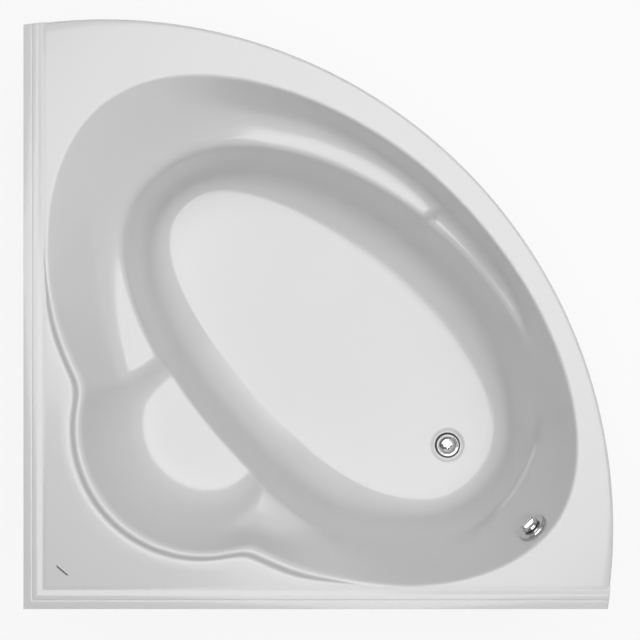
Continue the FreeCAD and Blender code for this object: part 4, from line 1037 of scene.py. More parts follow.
    def section(self, angle: float) -> list[Triple]:
        """Points of the bathing surface from the basin floor out to the flat deck.

        Args:
            angle: plan angle in radians.

        Returns:
            Points in the bath's axes.
        """
        turn = math.degrees(angle) % 360.0
        corners, r_rim = self.section_corners(angle)
        points = self.rounded(corners)
        beaded = within(turn, self.bead_arc)
        reach = self.plain_reach + self.bead_reach * beaded
        for k in range(1, self.deck_steps + 1):
            points.append((corners[-1][0] + reach * k / self.deck_steps, 0.0))
        half = mix(self.plain_half, self.bead_half, beaded)
        placed = []
        for r, z in points:
            u = self.hub[0] + r * math.cos(angle)
            v = self.hub[1] + r * math.sin(angle)
            if z < 0.0:
                bowl = self.seat_bowl(u, v)
                level = min(-self.ledge, max(bowl, -self.seat))
                z -= self.armrest_dip(u, v, z, turn)
                z = min(0.0, soft_min(self.lowered(z, level), bowl, self.bowl_blend))
            z += beaded * self.roll((r - r_rim) / half)
            placed.append(tuple(plan_point(u, v, self.rim_z + z)))
        return placed

    def ring_weights(self, fine: int) -> np.ndarray:
        """Weights of a closed uniform cubic spline through the sections.

        Args:
            fine: points for each section.

        Returns:
            One row of weights for each fine ray.
        """
        rows = self.angles
        weights = np.zeros((rows * fine, rows))
        for k in range(rows * fine):
            i, f = divmod(k, fine)
            t = f / fine
            parts = ((1 - t) ** 3, 3 * t ** 3 - 6 * t ** 2 + 4,
                     -3 * t ** 3 + 3 * t ** 2 + 3 * t + 1, t ** 3)
            for offset, part in zip((-1, 0, 1, 2), parts):
                weights[k, (i + offset) % rows] += part / 6.0
        return weights

    def run_weights(self, count: int, fine: int) -> np.ndarray:
        """Weights of a cubic spline that ends on its first and last point.

        Args:
            count: number of points along one section.
            fine: points for each span of the spline.

        Returns:
            One row of weights for each fine point.
        """
        spans = count - 3
        knots = np.concatenate([[0.0] * 3, np.arange(spans + 1.0), [float(spans)] * 3])
        params = np.linspace(0.0, spans, spans * fine + 1)
        params[-1] -= 1e-9
        basis = [((params >= a) & (params < b)).astype(float) for a, b in zip(knots, knots[1:])]
        for degree in (1, 2, 3):
            level = []
            for i in range(len(basis) - 1):
                total = np.zeros_like(params)
                left = knots[i + degree] - knots[i]
                right = knots[i + degree + 1] - knots[i + 1]
                if left > 0.0:
                    total += (params - knots[i]) / left * basis[i]
                if right > 0.0:
                    total += (knots[i + degree + 1] - params) / right * basis[i + 1]
                level.append(total)
            basis = level
        return np.stack(basis, axis=1)

    def grid(self, ring_fine: int, run_fine: int) -> np.ndarray:
        """Fine points of the surface.

        Args:
            ring_fine: rays for each section.
            run_fine: points for each span along a section.

        Returns:
            Array of rays by points by three, in millimetres.
        """
        net = np.array([self.section(2.0 * math.pi * k / self.angles)
                        for k in range(self.angles)])
        rounds = self.ring_weights(ring_fine)
        runs = self.run_weights(net.shape[1], run_fine)
        return np.einsum("ai,ijk,bj->abk", rounds, net, runs)


def grid_normals(grid: np.ndarray) -> np.ndarray:
    """Upward unit normals of a closed grid of points.

    Args:
        grid: rays by points by three.

    Returns:
        Normals in the same layout.
    """
    round_way = np.roll(grid, -1, axis=0) - np.roll(grid, 1, axis=0)
    out_way = np.gradient(grid, axis=1)
    normals = np.cross(round_way, out_way)
    normals /= np.linalg.norm(normals, axis=2, keepdims=True)
    return np.where(normals[:, :, 2:3] < 0.0, -normals, normals)


# -------------------------------------------------------------------- bath tub
@dataclass(frozen=True)
class RimOutline:
    """The deck's outline: two wall sides and the front arc, in millimetres."""

    overall: float = 1400.0
    front_centre: float = 190.0

    @property
    def wall(self) -> float:
        """Distance of both walls from the middle of the bath."""
        return 0.5 * self.overall

    @property
    def arc_centre(self) -> Pair:
        """Plan point that the front arc is drawn round."""
        return self.front_centre - self.wall, self.wall - self.front_centre

    @property
    def arc_radius(self) -> float:
        """Radius of the front arc."""
        return self.overall - self.front_centre

    def end(self, inset: float, off_wall: float) -> float:
        """How far the front arc reaches along a wall.

        Args:
            inset: how far inside the front arc.
            off_wall: distance from the wall.

        Returns:
            The x of the arc's end on the left wall; the other end mirrors it.
        """
        across = self.wall - off_wall - self.arc_centre[1]
        return self.arc_centre[0] + math.sqrt((self.arc_radius - inset) ** 2 - across ** 2)

    def corners(self, inset: float) -> list[Pair]:
        """The outline's three corners.

        Args:
            inset: how far inside the outline.

        Returns:
            The room corner, the head end and the waste end.
        """
        wall, far = self.wall - inset, self.end(inset, inset)
        return [(-wall, wall), (far, wall), (-wall, -far)]

    def reach(self, start: Pair, way: Pair, inset: float) -> tuple[float, bool]:
        """How far a ray runs to the outline.

        Args:
            start: where the ray starts.
            way: its unit direction.
            inset: how far inside the outline.

        Returns:
            The distance, and whether the ray meets the front arc.
        """
        wall = self.wall - inset
        best = math.inf
        if way[1] > 1e-9:
            best = min(best, (wall - start[1]) / way[1])
        if way[0] < -1e-9:
            best = min(best, (-wall - start[0]) / way[0])
        dx = start[0] - self.arc_centre[0]
        dy = start[1] - self.arc_centre[1]
        b = dx * way[0] + dy * way[1]
        arc = -b + math.sqrt(b * b - dx * dx - dy * dy + (self.arc_radius - inset) ** 2)
        return min(best, arc), arc < best


@dataclass
class Tub:
    """The moulded acrylic tub with its raised wall strip, dish and holes."""

    surface: BathingSurface
    outline: RimOutline
    # shell, deck and turned-down edge
    shell: float = 4.0
    lip: float = 34.0
    lip_thick: float = 5.0
    lip_straight: float = 15.0
    lip_soft: float = 1.2
    lip_corner: float = 0.35
    lip_chamfer: float = 1.0
    lip_fillet: float = 4.0
    front_round: float = 8.0
    wall_round: float = 1.2
    edge_steps: int = 6
    deck_shares: Triple = (0.15, 0.5, 0.9)
    under_share: float = 0.8
    ring_fine: int = 3
    run_fine: int = 3
    # strip along the walls
    strip_width: float = 46.0
    strip_height: float = 6.0
    strip_least: float = 0.02
    strip_ends: tuple[Pair, ...] = ((0.4, 3.0), (1.2, 1.2), (3.0, 0.3), (5.0, 0.0))
    # dish and hole of the waste, boss under it, hole of the overflow
    drain_hole: float = 27.0
    drain_deep: float = 30.0
    dish_flat: float = 37.5
    dish_reach: float = 49.0
    dish_depth: float = 5.0
    dish_steps: int = 10
    dish_over: float = 0.03
    cut_wider: float = 7.0
    cut_higher: float = 9.0
    boss_radius: float = 52.0
    boss_depths: Pair = (11.0, 2.0)
    overflow_hole: float = 24.0
    overflow_reach: float = 40.0

    def ray_ways(self, grid: np.ndarray) -> list[tuple[float, float, bool, int]]:
        """Direction of each ray and what it meets.

        Args:
            grid: the fine bathing surface.

        Returns:
            For each ray its unit way in x and y, whether it meets the front arc, and the
            number of the outline's corner that it is aimed at, or -1.
        """
        hub = plan_point(*self.surface.hub)
        rays = len(grid)
        ways = []
        for k in range(rays):
            angle = 2.0 * math.pi * k / rays
            way = plan_point(math.cos(angle), math.sin(angle))
            on_arc = self.outline.reach((hub.x, hub.y), (way.x, way.y), 0.0)[1]
            ways.append((way.x, way.y, on_arc, -1))
        for n, corner in enumerate(self.outline.corners(0.0)):
            aim = Vector((corner[0] - hub.x, corner[1] - hub.y)).normalized()
            best = max(range(rays), key=lambda k: aim.x * ways[k][0] + aim.y * ways[k][1])
            ways[best] = (aim.x, aim.y, False, n)
        return ways

    def edge_ring(self, ways: list, inset: float | np.ndarray,
                  height: float | np.ndarray) -> np.ndarray:
        """One ring of the rim.

        Args:
            ways: the rays from ray_ways.
            inset: how far inside the outline, for all rays or for each.
            height: height of the ring, for all rays or for each.

        Returns:
            Points in millimetres.
        """
        hub = plan_point(*self.surface.hub)
        insets = np.broadcast_to(inset, len(ways)).tolist()
        heights = np.broadcast_to(height, len(ways)).tolist()
        ring = []
        for (x, y, _, corner), inside, z in zip(ways, insets, heights):
            if corner >= 0:
                ring.append((*self.outline.corners(inside)[corner], z))
            else:
                far = self.outline.reach((hub.x, hub.y), (x, y), inside)[0]
                ring.append((hub.x + x * far, hub.y + y * far, z))
        return np.array(ring)

    def rounding(self, ways: list) -> np.ndarray:
        """Edge rounding for each ray: large on the front arc, small on the walls.

        Args:
            ways: the rays from ray_ways.

        Returns:
            The roundings in millimetres.
        """
        soft = np.array([self.front_round if way[2] else self.wall_round for way in ways])
        for _ in range(3):
            soft = (np.roll(soft, 1) + soft + np.roll(soft, -1)) / 3.0
        return soft

    def lip_profile(self) -> list[Pair]:
        """Cross section of the turned-down edge below the deck's rounding.

        Returns:
            Points (distance inside the outline, height): down the outside, round the lower
            edge and up the inside to the underside of the deck.
        """
        top, thick, soft = self.surface.rim_z, self.lip_thick, self.lip_soft
        low, under = top - self.lip, top - thick
        return [(0.0, top - self.lip_straight), (0.0, low + soft),
                (self.lip_corner, low + self.lip_corner), (soft, low),
                (thick - self.lip_chamfer, low), (thick, low + self.lip_chamfer),
                (thick, under - self.lip_fillet), (thick + soft, under - soft),
                (thick + self.lip_fillet, under)]

    def rings(self) -> list[np.ndarray]:
        """All rings of the tub, from the middle of the floor out, over and back under.

        Returns:
            Each ring's points in millimetres, one row each.
        """
        grid = self.surface.grid(self.ring_fine, self.run_fine)
        normals = grid_normals(grid)
        ways = self.ray_ways(grid)
        top = self.surface.rim_z
        soft = self.rounding(ways)
        rings = [grid[:, j] for j in range(grid.shape[1])]
        edge = self.edge_ring(ways, soft, top)
        rings += [mix(grid[:, -1], edge, share) for share in self.deck_shares]
        for k in range(self.edge_steps + 1):
            turn = 0.5 * math.pi * k / self.edge_steps
            rings.append(self.edge_ring(ways, soft * (1.0 - math.sin(turn)),
                                        top - soft * (1.0 - math.cos(turn))))
        rings += [self.edge_ring(ways, inset, z) for inset, z in self.lip_profile()]
        inner = grid - normals * self.shell
        rings.append(mix(rings[-1], inner[:, -1], self.under_share))
        rings += [inner[:, j] for j in range(grid.shape[1] - 1, -1, -self.run_fine)]
        return rings

    def body(self) -> bpy.types.Object:
        """Closed mesh of the tub before its holes are cut.

        Returns:
            The object, with the wall strip as a second island.
        """
        rings = self.rings()
        rays, cols = len(rings[0]), len(rings)
        points = np.stack(rings, axis=1).reshape(-1, 3)
        faces = grid_faces(rays, cols, True)
        hub = plan_point(*self.surface.hub)
        floor = self.surface.floor_z
        centre = len(points)
        points = np.vstack([points, [(hub.x, hub.y, floor), (hub.x, hub.y, floor - self.shell)]])
        for i in range(rays):
            j = (i + 1) % rays
            faces.append((centre, i * cols, j * cols))
            faces.append((centre + 1, i * cols + cols - 1, j * cols + cols - 1))
        strip, strip_faces = self.wall_strip(len(points))
        points = np.vstack([points, strip])
        return make_object("bath_tub", points * MM, faces + strip_faces, ACRYLIC, 40.0)

    def strip_profile(self) -> list[Pair]:
        """Cross section of the raised wall strip.

        Returns:
            Points (distance from the wall, height over the deck) in millimetres.
        """
        top = self.strip_height
        ledge = rounded_profile([
            (0.1, -2.0, 0.0), (0.1, top, 1.2), (18.0, top, 3.0), (20.5, top - 1.3, 2.5),
            (23.0, top, 3.0), (33.0, top - 0.2, 10.0), (self.strip_width - 3.0, 0.25, 7.0),
            (self.strip_width + 6.0, 0.05, 0.0)], 4)
        return ledge + [(self.strip_width + 6.0, -2.0)]

    def strip_row(self, inset: float | None, drop: float, left: bool) -> list[Triple]:
        """Place the strip's cross section once.

        Args:
            inset: how far inside the front arc, or None for the room corner.
            drop: how much lower the strip is here.
            left: whether it stands on the left wall.

        Returns:
            Its points in millimetres.
        """
        wall = self.outline.wall
        row = []
        for d, z in self.strip_profile():
            height = self.surface.rim_z + (z if z <= 0.0 else max(self.strip_least, z - drop))
            far = wall - d if inset is None else -self.outline.end(inset, d)
            row.append((-far, wall - d, height) if left else (-wall + d, far, height))
        return row

    def wall_strip(self, start: int) -> tuple[np.ndarray, Faces]:
        """The raised strip along both walls, mitred in the room corner.

        Args:
            start: number of the strip's first point.

        Returns:
            Its points in millimetres and its faces.
        """
        rows = [self.strip_row(inset, drop, True) for inset, drop in self.strip_ends]
        rows.append(self.strip_row(None, 0.0, True))
        rows += [self.strip_row(inset, drop, False) for inset, drop in reversed(self.strip_ends)]
        return np.array(rows).reshape(-1, 3), tube_faces(len(rows), len(rows[0]), start)

    def dish_cutter(self, place: Matrix) -> bpy.types.Object:
        """Body that is taken out of the floor: the waste dish and the hole below it.

        Args:
            place: the waste's axes, in metres.

        Returns:
            The cutter.
        """
        floor = self.surface.floor_z
        bottom, flat = floor - self.drain_deep, floor - self.dish_depth
        profile = [(0.0, bottom), (self.drain_hole, bottom), (self.drain_hole, flat),
                   (self.dish_flat, flat)]
        for k in range(1, self.dish_steps + 1):
            t = k / self.dish_steps
            rise = mix(-self.dish_depth, self.dish_over, step(t, 0.0, 1.0))
            profile.append((mix(self.dish_flat, self.dish_reach, t), floor + rise))
        profile += [(self.dish_reach + self.cut_wider, floor + self.cut_higher),
                    (0.0, floor + self.cut_higher)]
        return lathe("dish_cutter", profile, ACRYLIC, place)

    def build(self, waste_place: Matrix, wall_place: Matrix) -> bpy.types.Object:
        """Build the tub.

        Args:
            waste_place: the waste's axes, in metres.
            wall_place: the overflow's axes, in metres.

        Returns:
            The dressed piece.
        """
        tub = self.body()
        reach = self.overflow_reach
        hole = lathe("overflow_cutter", drum(self.overflow_hole, -reach, reach), ACRYLIC,
                     wall_place, 96)
        low, high = (self.surface.floor_z - depth for depth in self.boss_depths)
        boss = lathe("dish_boss", drum(self.boss_radius, low, high), ACRYLIC, waste_place)
        reshape(tub, [(Shaping.ADD, boss), (Shaping.CUT, self.dish_cutter(waste_place)),
                      (Shaping.CUT, hole)], ACRYLIC, 40.0)
        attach(tub, "tub")
        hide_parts("bath_shell")
        return tub


# ------------------------------------------------------------------------ waste
@dataclass
class Waste:
    """The parts of the waste that show in the basin: flange and pop-up plug."""

    seat_z: float = 155.0
    flange_radius: float = 36.0
    plug_radius: float = 30.4
    plug_rise: float = 14.0
    guide_z: float = 138.0
    guide_high: float = 5.0
    guide_radius: float = 7.0
    guide_turn: float = 225.0
    arm_size: Triple = (45.0, 3.0, 8.0)
    arm_bevel: float = 0.6

    def place(self) -> Matrix:
        """Axes of the waste, in metres."""
        return Matrix.Translation(plan_point(*WASTE_CENTRE) * MM)

    def flange(self) -> bpy.types.Object:
        """Build the chromed flange with its throat and the guide cross.

        Returns:
            The dressed piece.
        """
        z, r = self.seat_z, self.flange_radius
        profile = rounded_profile([
            (22.0, 130.0, 0.0), (25.0, 130.0, 0.5), (25.0, z + 1.2, 0.4), (r, z + 1.2, 0.6),
            (r, z + 3.4, 1.8), (r - 2.0, z + 5.0, 1.6), (r - 3.6, z + 5.2, 1.0),
            (r - 5.0, z + 3.6, 1.2), (24.6, z + 3.1, 1.5), (22.0, z + 1.0, 1.0)])
        flange = lathe("drain_flange", profile, CHROME, self.place())
        low, high = self.guide_z - self.guide_high, self.guide_z + self.guide_high
        hub = rounded_profile([(0.0, low, 0.0), (self.guide_radius, low, 1.0),
                               (self.guide_radius, high, 1.0), (0.0, high, 0.0)])
        guides = [lathe("guide_hub", hub, CHROME, self.place(), 48),
                  self.guide_arm(0.0), self.guide_arm(90.0)]
        reshape(flange, [(Shaping.ADD, guide) for guide in guides], CHROME)
        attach(flange, "tub")
        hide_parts("waste_flange")
        return flange

    def guide_arm(self, turn: float) -> bpy.types.Object:
        """Thin bar across the throat.

        Args:
            turn: its direction in degrees.

        Returns:
            The bar.
        """
        way = Matrix.Rotation(math.radians(turn + self.guide_turn), 4, "Z")
        middle = Matrix.Translation(Vector((0.0, 0.0, self.guide_z)) * MM)
        return make_box("guide_arm", self.arm_size, self.place() @ way @ middle, self.arm_bevel)

    def plug(self) -> bpy.types.Object:
        """Build the domed plug cap with its turned rim.

        Returns:
            The dressed piece.
        """
        z, r = self.seat_z, self.plug_radius
        profile = rounded_profile([
            (0.0, z + 5.6, 0.0), (29.4, z + 5.6, 0.3), (29.4, z + 3.6, 0.2), (r, z + 3.6, 0.4),
            (r, z + 6.2, 1.2), (28.6, z + 8.4, 1.6), (25.6, z + 7.4, 0.7), (24.2, z + 6.9, 0.7),
            (22.5, z + 8.1, 1.0), (18.0, z + 10.5, 2.4), (12.0, z + 12.5, 3.0),
            (6.0, z + 13.6, 3.0), (0.0, z + self.plug_rise, 0.0)], 6)
        cap = lathe("plug_dome", profile, CHROME, self.place())
        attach(cap, "plug")
        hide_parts("plug_cap")
        return cap


# --------------------------------------------------------------------- overflow
@dataclass
class Overflow:
    """Cover plate and turning knob on the wall at the waste end."""

    centre: Vector
    axis: Vector
    plate_radius: float = 38.0
    knob_radius: float = 22.0
    grip: Pair = (36.0, 8.0)
    grip_levels: tuple[Pair, ...] = (
        (19.0, 1.0), (24.5, 1.0), (27.2, 0.97), (28.5, 0.88), (29.0, 0.70))
    grip_points: int = 48
    grip_powers: Pair = (0.55, 0.7)
    grip_waist: float = 0.16
    grip_draw: float = 1.2
    slot_size: Triple = (12.0, 9.0, 3.0)
    slot_z: float = 5.4
    slot_step: float = 22.0
    slots_each_side: int = 3

    @property
    def side(self) -> Vector:
        """Level direction along the wall."""
        return Vector((0.0, 0.0, 1.0)).cross(self.axis).normalized()

    def place(self) -> Matrix:
        """Axes of the overflow: local Z points into the basin.

        Returns:
            Their placing in metres.
        """
        up_wall = self.axis.cross(self.side)
        turn = Matrix((self.side, up_wall, self.axis)).transposed().to_4x4()
        return Matrix.Translation(self.centre) @ turn

    def slot_cutter(self, number: int) -> bpy.types.Object:
        """Cutter for one water slot in the plate's lower edge.

        Args:
            number: its place, counted from the lowest one.

        Returns:
            The cutter.
        """
        way = Matrix.Rotation(math.radians(-90.0 + self.slot_step * number), 4, "Z")
        middle = Matrix.Translation(Vector((self.plate_radius, 0.0, self.slot_z)) * MM)
        return make_box("slot_cutter", self.slot_size, self.place() @ way @ middle)

    def plate(self) -> bpy.types.Object:
        """Build the chromed cover with water slots in the lower half of its edge.

        Returns:
            The dressed piece.
        """
        r = self.plate_radius
        profile = rounded_profile([
            (5.1, -12.0, 0.0), (8.0, -12.0, 0.5), (8.0, 7.5, 0.6), (r - 3.5, 7.5, 0.8),
            (r - 3.5, 4.0, 0.3), (r, 4.0, 0.5), (r, 7.0, 1.2), (r - 1.5, 9.2, 1.6),
            (r - 5.0, 10.4, 3.0), (26.0, 10.3, 2.0), (23.5, 9.6, 1.0), (5.1, 9.6, 0.0)])
        plate = lathe("overflow_cover", profile, CHROME, self.place())
        numbers = range(-self.slots_each_side, self.slots_each_side + 1)
        reshape(plate, [(Shaping.CUT, self.slot_cutter(k)) for k in numbers], CHROME)
        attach(plate, "tub")
        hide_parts("overflow_plate")
        return plate

    def grip_bar(self) -> bpy.types.Object:
        """Waisted bar across the knob's face.

        Returns:
            The bar as a closed mesh.
        """
        half_long, half_wide = 0.5 * self.grip[0], 0.5 * self.grip[1]
        points = []
        for z, share in self.grip_levels:
            for k in range(self.grip_points):
                turn = 2.0 * math.pi * k / self.grip_points
                c, s = math.cos(turn), math.sin(turn)
                x = half_long * math.copysign(abs(c) ** self.grip_powers[0], c)
                bow = math.cos(min(1.0, abs(x) / half_long) * math.pi / 2.0)
                y = half_wide * (1.0 - self.grip_waist * bow)
                y *= math.copysign(abs(s) ** self.grip_powers[1], s)
                x -= math.copysign(min(abs(x), (1.0 - share) * half_wide * self.grip_draw), x)
                points.append((x, y * share, z))
        mesh = bpy.data.meshes.new("grip_bar")
        mesh.from_pydata(points, [], tube_faces(len(self.grip_levels), self.grip_points))
        mesh.transform(self.place() @ Matrix.Scale(MM, 4))
        return link_object("grip_bar", mesh)

    def knob(self) -> bpy.types.Object:
        """Build the turning knob with its grip.

        Returns:
            The dressed piece.
        """
        r = self.knob_radius
        profile = rounded_profile([
            (0.0, 12.0, 0.0), (5.05, 12.0, 0.1), (5.05, 11.2, 0.1), (r - 2.0, 11.2, 0.6),
            (r, 13.0, 1.0), (r, 17.0, 2.5), (r - 2.0, 19.6, 3.0), (r - 7.0, 20.9, 6.0),
            (0.0, 21.5, 0.0)], 6)
        knob = lathe("turning_knob", profile, CHROME, self.place())
        reshape(knob, [(Shaping.ADD, self.grip_bar())], CHROME)
        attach(knob, "knob")
        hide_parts("overflow_knob")
        return knob


# ------------------------------------------------------------------------ badge
@dataclass
class Badge:
    """Plain pill-shaped plate on the deck near the room corner."""

    length: float = 35.0
    width: float = 7.0
    thick: float = 0.8
    place: Pair = (-609.0, 608.5)
    turn: float = 50.0
    deck_z: float = 590.0
    around: int = 48
    edge_soft: float = 0.4
    edge_corner: float = 0.12

    def build(self) -> bpy.types.Object:
        """Build the plate with rounded ends and a soft upper edge.

        Returns:
            The dressed piece.
        """
        end = 0.5 * self.width
        half = 0.5 * self.length - end
        levels = ((0.0, 0.0), (0.0, self.thick - self.edge_soft),
                  (self.edge_corner, self.thick - self.edge_corner),
                  (self.edge_soft, self.thick), (end - 0.6, self.thick))
        points = []
        for inset, z in levels:
            for k in range(self.around):
                turn = 2.0 * math.pi * (k + 0.5) / self.around
                side = math.copysign(half, math.cos(turn))
                points.append((side + (end - inset) * math.cos(turn),
                               (end - inset) * math.sin(turn), z))
        faces = tube_faces(len(levels), self.around)
        turn = math.radians(self.turn)
        spin = np.array([[math.cos(turn), -math.sin(turn), 0.0],
                         [math.sin(turn), math.cos(turn), 0.0], [0.0, 0.0, 1.0]])
        placed = np.array(points) @ spin.T + np.array([*self.place, self.deck_z])
        plate = make_object("corner_badge", placed * MM, faces, BADGE_METAL, 30.0)
        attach(plate, "tub")
        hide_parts("badge_plate")
        return plate


# ------------------------------------------------------------------ front panel
@dataclass
class FrontPanel:
    """Curved acrylic apron under the rim, folded inwards at the bottom."""

    outline: RimOutline
    radius: float = 1200.0
    thick: float = 4.0
    low: float = 12.0
    top: float = 576.0
    fold: float = 22.0
    fold_round: float = 3.5
    gap: float = 6.0
    steps: int = 180

    def profile(self) -> list[Pair]:
        """Closed cross section.

        Returns:
            Points (radius, height) in millimetres.
        """
        r, t = self.radius, self.thick
        corners = [(r - t - self.fold, self.low, 0.0), (r, self.low, self.fold_round),
                   (r, self.top, 1.2), (r - t, self.top, 1.2), (r - t, self.low + t, 1.0),
                   (r - t - self.fold, self.low + t, 0.0)]
        return rounded_profile(corners)

    def end_turn(self, radius: float) -> float:
        """Turn from the front diagonal at which a circle reaches the panel's end plane.

        Args:
            radius: the circle's radius round the arc's centre.

        Returns:
            The turn in radians.
        """
        across = self.outline.wall - self.gap - self.outline.arc_centre[1]
        return math.asin(across / radius) + math.pi / 4.0

    def build(self) -> bpy.types.Object:
        """Build the apron.

        Returns:
            The dressed piece.
        """
        profile = self.profile()
        centre = self.outline.arc_centre
        points = []
        for i in range(self.steps + 1):
            share = 2.0 * i / self.steps - 1.0
            for r, z in profile:
                angle = share * self.end_turn(r) - math.pi / 4.0
                points.append((centre[0] + r * math.cos(angle),
                               centre[1] + r * math.sin(angle), z))
        faces = tube_faces(self.steps + 1, len(profile))
        panel = make_object("front_apron", np.array(points) * MM, faces, PANEL_ACRYLIC, 40.0)
        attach(panel, "tub")
        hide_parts("front_panel")
        return panel


# --------------------------------------------------------------- hose and cable
@dataclass
class Leads:
    """The overflow hose and the knob's control cable behind the waste end."""

    cup: Vector
    cup_side: Vector
    cup_drop: float = 62.3
    port_z: float = 112.0
    port_reach: float = 60.3
    hose_outer: float = 13.5
    hose_sweep: float = 160.0
    hose_first: float = 73.0
    hose_bow: Pair = (3.0, -4.0)
    hose_points: int = 28
    rib_depth: float = 1.3
    rib_pitch: float = 4.5
    rib_steps: int = 4
    rib_fade: float = 4.0
    cuff: float = 22.0
    first_side: Triple = (0.3, 1.0, 0.2)
    gland_side: float = -22.5
    gland_drop: float = 34.0
    gland_turn: float = 40.0
    gland_z: float = 108.0
    gland_reaches: Pair = (92.0, 40.0)
    cable_radius: float = 2.5
    cable_middle: tuple[Triple, ...] = (
        (0.0, 0.0, -27.0), (2.0, 5.0, -74.0), (5.0, 12.0, -124.0), (5.0, 17.0, -178.0),
        (1.0, 22.0, -228.0), (-12.0, 27.0, -275.0), (-40.0, 31.0, -313.0),
        (-80.0, 36.0, -340.0), (-124.0, 40.0, -354.0))

    def run(self) -> Pair:
        """The way from the waste's centre to the cup's, in millimetres on the plan axes.

        Returns:
            Its two parts, along the oval and toward the front.
        """
        u, v = -(self.cup.x + self.cup.y) / ROOT2, (self.cup.x - self.cup.y) / ROOT2
        return u - WASTE_CENTRE[0], v - WASTE_CENTRE[1]

    def toward(self, turn: float, reach: float, z: float) -> Vector:
        """Point at a reach from the waste's centre, turned from its side port.

        Args:
            turn: degrees from the side port.
            reach: distance from the waste's centre.
            z: height.

        Returns:
            The point in millimetres.
        """
        along, across = self.run()
        angle = math.atan2(across, along) + math.radians(turn)
        return plan_point(WASTE_CENTRE[0] + reach * math.cos(angle),
                          WASTE_CENTRE[1] + reach * math.sin(angle), z)

    def hose_route(self) -> list[Vector]:
        """Down from the cup, slightly bowed, then round in three turns of 30 degrees.

        Returns:
            Control points in millimetres.
        """
        out = math.hypot(*self.run())
        half_run = self.hose_sweep * math.tan(math.radians(15.0))
        drop = half_run * (1.0 + math.sqrt(3.0))
        top = self.toward(0.0, out, self.cup.z - self.cup_drop)
        below = top - Vector((0.0, 0.0, self.hose_first))
        bend_start = self.toward(0.0, out, self.port_z + self.hose_sweep - half_run)
        bowed = (below + bend_start) * 0.5 + plan_point(*self.hose_bow)
        return [top, below, bowed, bend_start,
                self.toward(0.0, out - half_run, self.port_z + self.hose_sweep - drop),
                self.toward(0.0, out - drop, self.port_z),
                self.toward(0.0, self.port_reach, self.port_z)]

    def cable_route(self) -> list[Vector]:
        """From the gland under the cup, down and round to the gland at the waste.

        Returns:
            Control points in millimetres.
        """
        start = self.cup + self.cup_side * self.gland_side - Vector((0.0, 0.0, self.gland_drop))
        middle = [start + plan_point(*way) for way in self.cable_middle]
        last = [self.toward(self.gland_turn, reach, self.gland_z) for reach in self.gland_reaches]
        return [start, *middle, *last]

    def spline(self, name: str, route: list[Vector], bevel: float) -> bpy.types.Object:
        """Smooth curve along a route.

        Args:
            name: name of the curve.
            route: its control points in millimetres.
            bevel: its radius in millimetres, or 0 for a bare line.

        Returns:
            The curve.
        """
        curve = bpy.data.curves.new(name, "CURVE")
        curve.dimensions = "3D"
        curve.resolution_u = 16
        curve.bevel_depth = bevel * MM
        curve.bevel_resolution = 5
        curve.use_fill_caps = bevel > 0.0
        line = curve.splines.new("NURBS")
        line.points.add(len(route) - 1)
        for point, place in zip(line.points, route):
            point.co = (*(place * MM), 1.0)
        line.order_u = 3
        line.use_endpoint_u = True
        return link_object(name, curve)

    def hose(self) -> bpy.types.Object:
        """Build the ribbed overflow hose with plain cuffs at its ends.

        Returns:
            The dressed hose.
        """
        bare = self.spline("hose_line", self.hose_route(), 0.0)
        line_mesh = worked_out(bare)
        path = [v.co.copy() for v in line_mesh.vertices]
        rings = self.hose_rings(path)
        points = np.array([p for ring in rings for p in ring])
        faces = tube_faces(len(rings), self.hose_points)
        hose = make_object("ribbed_hose", points, faces, HOSE_PLASTIC, 60.0)
        bpy.data.objects.remove(bare)
        bpy.data.meshes.remove(line_mesh)
        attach(hose, "tub")
        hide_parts("overflow_hose")
        return hose

    def hose_rings(self, path: list[Vector]) -> list[list[Vector]]:
        """Rings of the ribbed hose along its line.

        Args:
            path: points of the line in metres.

        Returns:
            Rings of points in metres.
        """
        marks = [0.0]
        for a, b in zip(path, path[1:]):
            marks.append(marks[-1] + (b - a).length)
        total = marks[-1]
        cuff, pitch, fade = self.cuff * MM, self.rib_pitch * MM, self.rib_fade * MM
        turns = [2.0 * math.pi * k / self.hose_points for k in range(self.hose_points)]
        side = Vector(self.first_side)
        rings = []
        here = 0
        steps = int(total / (pitch / self.rib_steps))
        for n in range(steps + 1):
            at = total * n / steps
            while here < len(path) - 2 and marks[here + 1] < at:
                here += 1
            run = path[here + 1] - path[here]
            share = (at - marks[here]) / max(1e-9, marks[here + 1] - marks[here])
            centre = path[here] + run * share
            way = run.normalized()
            side = (side - way * side.dot(way)).normalized()
            other = way.cross(side)
            ribbed = min(1.0, max(0.0, (min(at, total - at) - cuff) / fade))
            wave = 0.5 + 0.5 * math.cos(2.0 * math.pi * (at - cuff) / pitch)
            radius = (self.hose_outer - ribbed * self.rib_depth * (1.0 - wave)) * MM
            rings.append([centre + (side * math.cos(turn) + other * math.sin(turn)) * radius
                          for turn in turns])
        return rings

    def cable(self) -> bpy.types.Object:
        """Build the control cable.

        Returns:
            The dressed cable.
        """
        cable = self.spline("plug_cable", self.cable_route(), self.cable_radius)
        cable.data.materials.append(CABLE_SHEATH.material())
        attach(cable, "tub")
        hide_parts("control_cable")
        return cable


